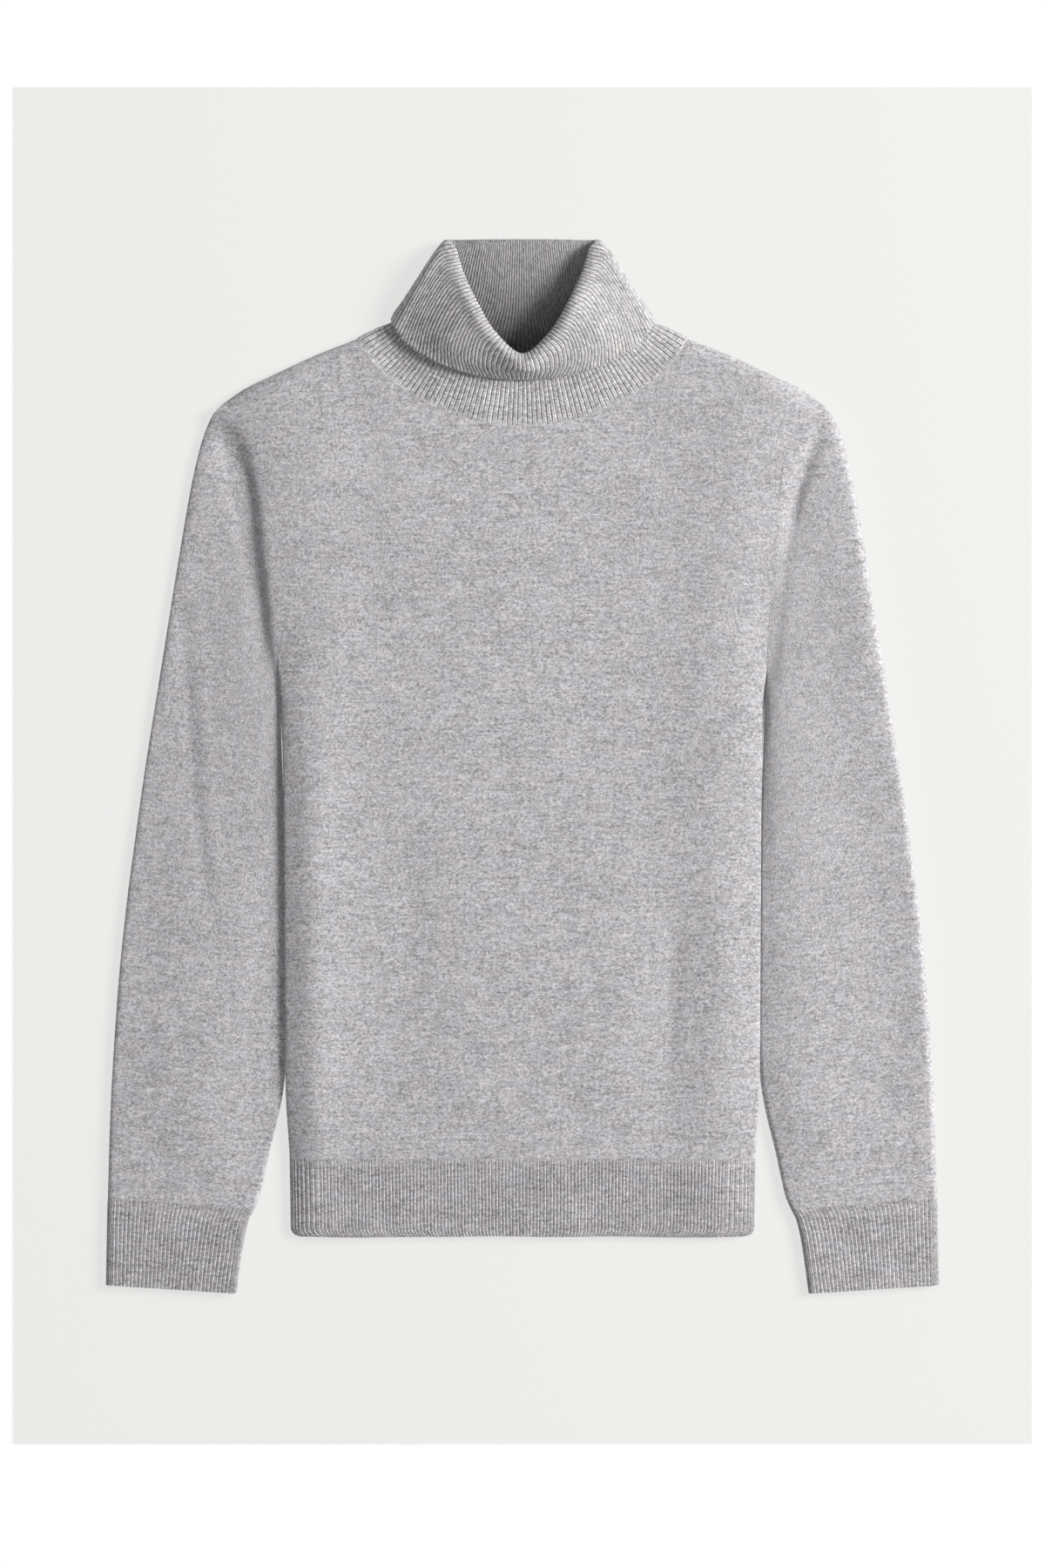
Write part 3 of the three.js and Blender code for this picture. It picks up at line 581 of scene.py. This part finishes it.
# The rib's colour carries painted shade in the furrows between its ribs.
rib = knit_look(
    "rib_knit", RIB_COLOUR, RIB_PITCH, RIB_COURSE, furrow_shade=0.52, seam_at=HEM_DEPTH, fade=3
)


def rib_raise(phase):
    return RIB_RAISE * (abs(math.sin(phase * math.pi)) - 0.5)


def hem_rib(name, is_front):
    columns, rows = HEM_RIBS * RIB_COLUMNS, 26
    side = 1 if is_front else -1
    top = HEM_DEPTH - SEAM_GAP / 2

    def place(i, j):
        across = side * (2 * i / columns - 1)
        up = top * (j / rows) ** 1.15
        out, half, lift = body_row(across, up, is_front)
        x = math.copysign(out, across)
        sag = 0.5 * wander(x, up, 45, 9) * (1 - up / top) if abs(across) < 0.87 else 0
        high = panel_high(x, up, half, lift, fold_high(up), is_front)
        return Vector((x, up + sag, high))

    def phase(i, j):
        return i / RIB_COLUMNS + 0.16 * wander(345 * i / columns, top * j / rows, 30, 5)

    def ribs(i, j):
        return rib_raise(phase(i, j)) * min(1, (rows - j) / 2)

    piece = lay_cloth(name, columns, rows, place, rib, phase, ribs, RIB_THICK)
    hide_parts(name)
    return piece


hem_rib_back = hem_rib("hem_rib_back", False)
hem_rib_front = hem_rib("hem_rib_front", True)

# Sleeves: two tubes of the same jersey, each sewn along its inner edge and set into its
# armhole. They lie flat beside the body, and each sinks in a soft trough along its armhole.
CUFF_SEAM_OUTER_UP = 28.3
CUFF_SEAM_INNER_UP = 20.5
SLEEVE_ROUND = 5
SLEEVE_INNER_ROUND = 4
CUFF_HIGH = 6.6
SLEEVE_FOLD_HIGH = 3.5
CUFF_FOLD_HIGH = 3.2
SLEEVE_INNER_FOLD_HIGH = 2.35
# Shares of the sleeve's length: opened out from the cuff, bent to the armhole, joined to it
OPENED_AT = 0.14
BENT_FROM = 0.45
CAP_FROM = 0.86
JOINED_FROM = 0.97

sleeve_outer = reader([
    (-36.3, 310.4), (28.3, 309.2), (90, 307.4), (142, 304.6), (194, 300.8), (246, 295.4),
    (298, 288.6), (350, 281.2), (402, 272.9), (454, 264.6), (506, 256.2), (558, 247.2),
    (584, 241.4), (600, 236.4), (611, 231.2), (620.5, 223),
])
sleeve_inner = reader([
    (-42.5, 213.6), (-3.5, 208), (13, 204), (20.5, 200), (30, 196), (64, 188.4), (90, 182),
    (113, 177.8), (140, 176.1), (232, 176.8), (290, 177.5), (325, 178.5), (349, 179.3),
    (370, 180.1), (402, 180.9),
])
# From the outer edge (0) to the inner edge (1)
sleeve_high = {
    1: reader([
        (0, 9.6), (0.05, 9.6), (0.1, 9.1), (0.2, 7.8), (0.3, 7.2), (0.42, 7.7), (0.55, 8.9),
        (0.67, 10.0), (0.77, 10.1), (0.87, 9.1), (0.94, 7.4), (1, 6.0),
    ]),
    -1: reader([
        (0, 5.7), (0.1, 5.8), (0.25, 6.4), (0.4, 6.9), (0.55, 6.9), (0.66, 6.2), (0.75, 5.0),
        (0.82, 3.8), (0.88, 3.0), (0.94, 2.8), (1, 2.8),
    ]),
}
sleeve_creases = {
    1: [
        crease([(262, 560), (255, 470), (247, 380)], 9, 0.6),
        crease([(200, 395), (222, 372), (252, 366)], 9, 0.7),
        crease([(290, 210), (275, 150), (262, 110)], 9, -0.5),
        crease([(205, 60), (228, 74), (262, 70)], 8, 0.5),
    ],
    -1: [
        crease([(257, 540), (250, 420), (242, 300), (226, 207), (210, 142)], 6, -0.9),
        crease([(248, 540), (241, 420), (233, 300), (217, 207)], 7, 0.7),
        crease([(202, 392), (226, 380), (256, 380)], 9, 0.8),
        crease([(196, 110), (226, 96), (268, 100)], 9, 0.6),
        crease([(290, 240), (280, 180), (280, 110)], 9, -0.4),
    ],
}
# Beside the armhole the left sleeve sinks below the body, and the right one rises from a dip.
# The body's height runs out over the flank.
ARMHOLE_FLANK = {1: 15, -1: 11}
armhole_troughs = {
    1: crease(
        [(224, 640), (217, 588), (204, 555), (195, 515), (188, 460), (183, 400)], 6, -3.4, 0.2
    ),
    -1: crease(
        [(229, 660), (218, 600), (211, 560), (204, 515), (196, 460), (190, 400)], 9, -3.6, 0.25
    ),
}
under_creases = [
    crease([(270, 420), (262, 330), (250, 240)], 8, 0.6),
    crease([(220, 210), (236, 150), (240, 90)], 8, 0.5),
]


def chord_place(from_inner, length):
    inner = brink(from_inner / ROUND_SHARE, 0, 0)[0]
    outer = brink((1 - from_inner) / ROUND_SHARE, 0, 0)[0]
    level = clamp((from_inner - ROUND_SHARE) / (1 - 2 * ROUND_SHARE))
    return (SLEEVE_INNER_ROUND * inner + SLEEVE_ROUND * (1 - outer)
            + (length - SLEEVE_INNER_ROUND - SLEEVE_ROUND) * level)


def ring_place(around, outer_end, inner_end):
    """Round a flat tube: 0 to 1 over its front from the inner edge, and back below it."""
    turn = around % 2
    is_front = turn <= 1
    from_inner = turn if is_front else 2 - turn
    lift = (brink(from_inner / ROUND_SHARE, 0, 0)[1]
            * brink((1 - from_inner) / ROUND_SHARE, 0, 0)[1])
    chord = outer_end - inner_end
    share = chord_place(from_inner, chord.length) / chord.length
    return inner_end + chord * share, lift, 1 - share, is_front


def armhole_high(up, is_front):
    fold = fold_high(up)
    rise = round_rise((up - ARMPIT_UP) / ARMPIT_ROUND) * round_rise((SHOULDER_UP - up) / TOP_ROUND)
    lift = rise * (armhole_lift(up) if is_front else 1)
    if not is_front:
        return (fold - SEAM_GAP / 2) * (1 - lift)
    half = body_half(up)
    return fold + SEAM_GAP / 2 + (front_high(half, up, half) - fold) * lift


def sleeve_point(around, along, side):
    outer_up = between(CUFF_SEAM_OUTER_UP + SEAM_GAP / 2, SHOULDER_UP, along)
    inner_up = between(CUFF_SEAM_INNER_UP + SEAM_GAP / 2, ARMPIT_UP, along)
    plan, lift, across, is_front = ring_place(
        around, Vector((sleeve_outer(outer_up), outer_up)),
        Vector((sleeve_inner(inner_up), inner_up)),
    )
    opened = smooth(along, 0, OPENED_AT)
    outer_fold = between(CUFF_FOLD_HIGH, SLEEVE_FOLD_HIGH, opened)
    low = between(CUFF_FOLD_HIGH, SLEEVE_INNER_FOLD_HIGH, opened)
    inner_fold = between(low, fold_high(ARMPIT_UP), smooth(along, 0.92, 1))
    fold = between(outer_fold, inner_fold, across)
    top = between(CUFF_HIGH, sleeve_high[side](across), opened)
    up = between(SHOULDER_UP, ARMPIT_UP, across)
    straight = between(SHOULDER_OUT, sleeve_inner(ARMPIT_UP), across)
    bend = smooth(along, BENT_FROM, 1)
    x = plan.x + (body_half(up) + SEAM_GAP / 2 - straight) * bend
    creases = sleeve_creases[side] if is_front else under_creases
    extra = sum(rise(x, plan.y) for rise in creases)
    if not is_front:
        high = fold * (1 - lift) + max(0, extra) * lift
        high = between(high, armhole_high(up, False), smooth(along, CAP_FROM, 1))
        return Vector((x * side, plan.y, high))
    extra += 0.4 * wander(plan.x * side, plan.y, 50, 7) + armhole_troughs[side](x, plan.y)
    high = fold + max(top + extra - fold, 0.2) * lift
    off_seam = smooth(x - body_half(plan.y), 0, ARMHOLE_FLANK[side])
    near = (1 - off_seam) * smooth(plan.y, ARMPIT_UP - 5, ARMPIT_UP + 40)
    joined = max(near, smooth(along, JOINED_FROM, 1))
    high = between(high, armhole_high(plan.y, True), joined)
    return Vector((x * side, plan.y, high))


def sleeve(name, side):
    columns, rows = 100, 210

    def place(i, j):
        turn = i if side > 0 else columns - i
        return sleeve_point(2 * turn / columns, j / rows, side)

    piece = lay_cloth(name, columns, rows, place, jersey, thick=JERSEY_THICK, ring=True)
    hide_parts(name)
    return piece


sleeve_left = sleeve("sleeve_left", -1)
sleeve_right = sleeve("sleeve_right", 1)

# Cuffs: ribbed tubes linked to the ends of the sleeves, lying a little slanted.
CUFF_EDGE_OUTER_UP = -36.3
CUFF_EDGE_INNER_UP = -42.5
CUFF_RIBS = 84


def cuff(name, side):
    columns, rows = CUFF_RIBS * RIB_COLUMNS, 28

    def place(i, j):
        turn = i if side > 0 else columns - i
        along = j / rows
        outer_up = between(CUFF_EDGE_OUTER_UP, CUFF_SEAM_OUTER_UP - SEAM_GAP / 2, along)
        inner_up = between(CUFF_EDGE_INNER_UP, CUFF_SEAM_INNER_UP - SEAM_GAP / 2, along)
        plan, lift, across, is_front = ring_place(
            2 * turn / columns, Vector((sleeve_outer(outer_up), outer_up)),
            Vector((sleeve_inner(inner_up), inner_up)),
        )
        swelled = CUFF_HIGH + 0.5 * wander(plan.x * side, plan.y, 25, 4) * math.sin(math.pi * along)
        if is_front:
            high = CUFF_FOLD_HIGH + (swelled - CUFF_FOLD_HIGH) * lift
        else:
            high = CUFF_FOLD_HIGH * (1 - lift)
        return Vector((plan.x * side, plan.y, high))

    def phase(i, j):
        return i / RIB_COLUMNS + 0.16 * wander((i % columns) / 40, j / 12, 1, 6 + side)

    def ribs(i, j):
        return rib_raise(phase(i, j)) * min(1, (rows - j) / 2)

    piece = lay_cloth(name, columns, rows, place, rib, phase, ribs, RIB_THICK, ring=True)
    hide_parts(name)
    return piece


cuff_left = cuff("cuff_left", -1)
cuff_right = cuff("cuff_right", 1)

# Roll collar: one tube of wider rib, linked to the neckline. It stands up, turns over at the
# throat and falls back outside itself, so its inner side shows on the roll.
COLLAR_FRONT_RIBS = 76
COLLAR_BACK_RIBS = 66
COLLAR_COLUMNS = 5
COLLAR_PITCH = 3.3
COLLAR_COURSE = 1.3
COLLAR_COLOUR = (0.56, 0.546, 0.558)
# What the throat's painted shade covers, and over what lengths it sets in and grows
SHADE_UP = 646
SHADE_HIGH = 17
SHADE_OUT = 56
SHADE_EDGE = 5
SHADE_SIDE_EDGE = 6
SHADE_FULL_UP = 92
SHADE_GROWS = 70
ROLL_BULGE = 8
SEAM_TUCK = 0.3
THROAT = [
    (0, 655.6), (3.5, 656.1), (8, 658.8), (13.5, 664), (20, 671.8), (28, 684.3), (35.8, 698.3),
    (42.4, 713), (47.2, 728), (51.4, 742),
]
ROLL_EDGE = [(0, 637.8), (26, 639.6), (48, 644.2), (70, 654.2), (86.5, 664.4), (99.5, 683)]
# Each ring: what it follows in front, how far along or off it, its height at the front, at mid
# front and near the side, then the side's x, up and height, and the back's up and height
COLLAR_RINGS = [
    ("seam", 0, (0, 0, 0), (123.0, 669.2, 3.3), (657.2, 1.1)),
    ("band", 0.5, (10.4, 10.2, 6.8), (109, 676.0, 4.0), (665, 1.1)),
    ("band", 1, (13.2, 13.0, 7.2), (94.6, 682.6, 4.2), (673, 2.2)),
    ("stand", 0.5, (19.5, 20.0, 10.4), (68, 712, 6.0), (693, 4.8)),
    ("throat", 2.0, (24.5, 24.5, 13.4), (57, 731.5, 8.6), (724, 5.6)),
    ("throat", 0.8, (30.4, 29.6, 15.8), (53.5, 740.0, 9.6), (739.0, 7.4)),
    ("throat", 5.6, (34.2, 33.0, 18.0), (57.0, 741.4, 8.6), (742.2, 6.0)),
    ("throat", 12.4, (31.4, 31.2, 17.6), (61.4, 737.6, 6.8), (740.6, 2.6)),
    ("roll", 0.5, (25.0, 25.5, 16.8), (78.2, 713.0, 5.8), (728, 1.1)),
    ("edge", 0, (17.2, 17.4, 12.4), (97.4, 683.4, 5.4), (712, 1.1)),
]
COLLAR_STATIONS = [0, 0.25, 0.5, 0.75, 0.85, 0.93, 1, 1.07, 1.5, 2]
COLLAR_STEPS = [3, 3, 7, 7, 5, 5, 5, 10, 12]


def bend_between(points, i, share, closed, even):
    """A point on a smooth curve through points, past its point i by a share of the next span."""
    count = len(points)
    if closed:
        before, here, there, after = (points[(i + k) % count] for k in (-1, 0, 1, 2))
    else:
        here, there = points[i], points[i + 1]
        before = points[i - 1] if i else (here if even else here * 2 - there)
        after = points[i + 2] if i + 2 < count else (there if even else there * 2 - here)
    if even:
        leave, arrive = (there - before) / 2, (after - here) / 2
    else:
        step = math.sqrt(max((there - here).length, 1e-6))
        first = math.sqrt(max((here - before).length, 1e-6))
        third = math.sqrt(max((after - there).length, 1e-6))
        leave = ((here - before) / first - (there - before) / (first + step)
                 + (there - here) / step) * step
        arrive = ((there - here) / step - (after - here) / (step + third)
                  + (after - there) / third) * step
    ease = share * share * (3 - 2 * share)
    bend = share * (1 - share)
    return here * (1 - ease) + there * ease + (leave * (1 - share) - arrive * share) * bend


class PlanCurve:
    """A curve seen from above, read by its share of length."""

    def __init__(self, table):
        points = [Vector(row) for row in table]
        steps = 200
        self.points = []
        for k in range(steps + 1):
            place = k / steps * (len(points) - 1)
            i = min(int(place), len(points) - 2)
            self.points.append(bend_between(points, i, place - i, False, True))
        self.run = [0.0]
        for a, b in zip(self.points, self.points[1:]):
            self.run.append(self.run[-1] + (b - a).length)

    def beside(self, share, off):
        wanted = clamp(share) * self.run[-1]
        k = min(max(bisect_right(self.run, wanted) - 1, 0), len(self.points) - 2)
        a, b = self.points[k], self.points[k + 1]
        span = b - a
        along = span.normalized()
        point = a + span * ((wanted - self.run[k]) / span.length)
        return point + Vector((along.y, -along.x)) * off


def painted_throat_shade(look):
    """Painted shade: the inside of the neck is painted darker towards its depth, as hardly any
    light reaches it.
    """
    place = look.node("ShaderNodeTexCoord", {}, {}, output=3)
    up = look.node("ShaderNodeSeparateXYZ", {}, {"Vector": place}, output=1)
    high = look.node("ShaderNodeSeparateXYZ", {}, {"Vector": place}, output=2)
    start = HEM_EDGE + SHADE_UP * MM
    out = abs(look.node("ShaderNodeSeparateXYZ", {}, {"Vector": place}, output=0))
    past = ((up - start) / (SHADE_EDGE * MM)).limited(0, 1)
    under = ((SHADE_HIGH * MM - high) / (SHADE_EDGE * MM)).limited(0, 1)
    within = ((SHADE_OUT * MM - out) / (SHADE_SIDE_EDGE * MM)).limited(0, 1)
    deep = ((start + SHADE_FULL_UP * MM - up) / (SHADE_GROWS * MM)).limited(0, 1)
    return 1 - past * under * within * (deep * 0.46 + 0.2)


# The collar's colour carries painted shade inside the neck and in the furrows between its ribs.
collar_knit = knit_look(
    "collar_knit", COLLAR_COLOUR, COLLAR_PITCH, COLLAR_COURSE, furrow_shade=0.95, fade=5,
    shade=painted_throat_shade,
)
neck_curve = PlanCurve(NECKLINE)
throat_curve = PlanCurve(THROAT)
edge_curve = PlanCurve(ROLL_EDGE)


def neckline_high(out):
    fold = fold_high(SHOULDER_UP)
    front = front_high(out, neckline_up(out), SHOULDER_OUT)
    return fold + (front - fold) * round_rise((NECK_OUT - out) / NECK_CORNER_ROUND)


def collar_plan(kind, amount, share):
    neck = neck_curve.beside(share, 0)
    edge = edge_curve.beside(share, 0)
    if kind == "seam":
        return neck_curve.beside(share, SEAM_TUCK)
    if kind == "band":
        return neck.lerp(edge, amount)
    if kind == "edge":
        return edge
    if kind == "throat":
        return throat_curve.beside(share, amount)
    if kind == "stand":
        return edge.lerp(throat_curve.beside(share, 3), amount)
    outward = throat_curve.beside(share, 1) - throat_curve.beside(share, 0)
    bulge = ROLL_BULGE * math.sin(share * math.pi) ** 0.8
    return edge.lerp(throat_curve.beside(share, 10), amount) + outward * bulge


def collar_station(ring, turn):
    kind, amount, high, side, back = ring
    share = abs(turn)
    x, up, z = side
    if share < 1:
        x, up = collar_plan(kind, amount, share)
        front, quarter, near = high
        z = (between(front, quarter, share * 2) if share < 0.5
             else between(quarter, near, (share - 0.5) / 0.43))
        if kind == "seam":
            z = neckline_high(x) - RIB_THICK / 2
    elif share > 1:
        left = 2 - share
        up = between(back[0], up, left ** (6 if kind == "edge" else 2))
        x, z = x * left, back[1]
    return Vector((math.copysign(x, turn), up, z))


collar_turns = [-turn for turn in COLLAR_STATIONS[-2:0:-1]] + COLLAR_STATIONS
collar_rings = [[collar_station(ring, turn) for turn in collar_turns] for ring in COLLAR_RINGS]


def collar_profile(turn):
    """Where the collar's rings lie at a place round it, -2 to 2 with 0 at the front."""
    start = COLLAR_STATIONS[-2]
    wrapped = (turn + start) % 4
    starts = [place + start for place in collar_turns]
    i = max(bisect_right(starts, wrapped) - 1, 0)
    after = starts[i + 1] if i + 1 < len(starts) else 4
    share = (wrapped - starts[i]) / (after - starts[i])
    return [bend_between(ring, i, share, True, False) for ring in collar_rings]


def roll_collar():
    """The tube's outer side, round its free edge, its inner side and round its seam edge."""
    ribs = COLLAR_FRONT_RIBS + COLLAR_BACK_RIBS
    columns = ribs * COLLAR_COLUMNS
    levels = [(k, step / steps) for k, steps in enumerate(COLLAR_STEPS) for step in range(steps)]
    levels.append((len(COLLAR_STEPS) - 1, 1.0))

    def turn_at(i):
        phase = i / COLLAR_COLUMNS
        back = COLLAR_BACK_RIBS / 2
        if phase < back:
            return -2 + phase / back
        if phase > ribs - back:
            return 2 - (ribs - phase) / back
        return -1 + (phase - back) / COLLAR_FRONT_RIBS * 2

    middle = []
    for i in range(columns):
        rings = collar_profile(turn_at(i))
        middle.append([bend_between(rings, k, share, False, False) for k, share in levels])
    last = len(levels) - 1
    out = []
    for i in range(columns):
        here = middle[i]
        before, after = middle[i - 1], middle[(i + 1) % columns]
        out.append([
            (after[r] - before[r]).cross(here[min(r + 1, last)] - here[max(r - 1, 0)]).normalized()
            for r in range(last + 1)
        ])
    path = [(r, 1) for r in range(last + 1)] + [(last, 0)]
    path += [(r, -1) for r in range(last, -1, -1)] + [(0, 0), (0, 1)]
    rows = len(path) - 1

    def place(i, j):
        r, side = path[j]
        i = i % columns
        point = middle[i][r]
        if not side:
            way = 1 if r else -1
            run = (middle[i][last] - middle[i][last - 1]) if r else (middle[i][1] - middle[i][0])
            return point + run.normalized() * way * RIB_THICK * 0.4
        fade = min(1, r / 3) if side > 0 else 1
        raised = RIB_THICK / 2 + RIB_RAISE * fade * (abs(math.sin(phase(i, j) * math.pi)) - 0.35)
        return point + out[i][r] * side * raised

    def phase(i, j):
        r, side = path[j]
        drift = 0.15 * wander((i % columns) / 45, r / 16, 1, 2)
        return i / COLLAR_COLUMNS + drift + (0 if side > 0 else 0.5)

    piece = lay_cloth("roll_collar", columns, rows, place, collar_knit, phase, ring=True)
    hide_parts("roll_collar")
    return piece


collar = roll_collar()

# Seams: the collar is linked to the neckline with a fine pale zig-zag, and the sleeves are set
# into their armholes with darker yarn, which shows near the shoulders only. Each stitch is a
# short bead that lies in its seam.
STITCH_APART = 1.7
STITCH_LONG = 1.5
STITCH_THICK = 0.55
STITCH_LEAN = 40
NECK_STITCH_OFF = 0.2
NECK_STITCH_PROUD = 0.02
ARMHOLE_STITCH_SUNK = 0.1
ARMHOLE_STITCHED = 75

def yarn_look(name, colour):
    look = Look(name, Roughness=0.9, Specular_IOR_Level=0.2)
    place = look.node("ShaderNodeTexCoord", {}, {}, output=3)
    fleck = look.node(
        "ShaderNodeTexNoise", {"noise_dimensions": "3D"},
        {"Vector": place, "Scale": 420.0, "Detail": 1.0, "Roughness": 0.5},
    )
    look.feed("Base Color", look.dimmed(colour, (fleck - 0.5) * 1.6 + 1))
    return look


linking_yarn = yarn_look("linking_yarn", (0.6, 0.585, 0.6))
jersey_yarn = yarn_look("jersey_yarn", (0.33, 0.32, 0.335))


def seam_stitches(name, yarn, line, length):
    """Stitches along line(share), which gives points in millimetres, leaning left and right."""
    mesh = bmesh.new()
    count = int(length / STITCH_APART)
    size = Matrix.Diagonal((STITCH_LONG / 2, STITCH_THICK / 2, STITCH_THICK / 2, 1))
    for k in range(count):
        point = line((k + 0.5) / count)
        ahead = line((k + 0.6) / count) - point
        lean = math.radians(STITCH_LEAN if k % 2 else -STITCH_LEAN)
        turned = Matrix.Rotation(math.atan2(ahead.y, ahead.x) + lean, 4, "Z")
        placed = Matrix.Translation((point.x * MM, point.y * MM + HEM_EDGE, point.z * MM))
        bmesh.ops.create_icosphere(
            mesh, subdivisions=1, radius=MM, matrix=placed @ turned @ size,
        )
    data = bpy.data.meshes.new(name)
    mesh.to_mesh(data)
    mesh.free()
    row = bpy.data.objects.new(name, data)
    scene.collection.objects.link(row)
    data.materials.append(yarn.material)
    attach(row, "root")
    return row


def neck_line(share):
    turn = between(-0.985, 0.985, share)
    x, up = neck_curve.beside(abs(turn), NECK_STITCH_OFF)
    return Vector((math.copysign(x, turn), up, neckline_high(x) + NECK_STITCH_PROUD))


def armhole_line(side):
    def line(share):
        up = between(ARMPIT_UP + 150, SHOULDER_UP - 3, share)
        high = armhole_high(up, True) - ARMHOLE_STITCH_SUNK
        return Vector((side * body_half(up), up, high))

    return line


neck_linking = seam_stitches(
    "neck_linking", linking_yarn, neck_line, 2 * neck_curve.run[-1]
)
armhole_left = seam_stitches(
    "armhole_seam_left", jersey_yarn, armhole_line(-1), ARMHOLE_STITCHED
)
armhole_right = seam_stitches(
    "armhole_seam_right", jersey_yarn, armhole_line(1), ARMHOLE_STITCHED
)
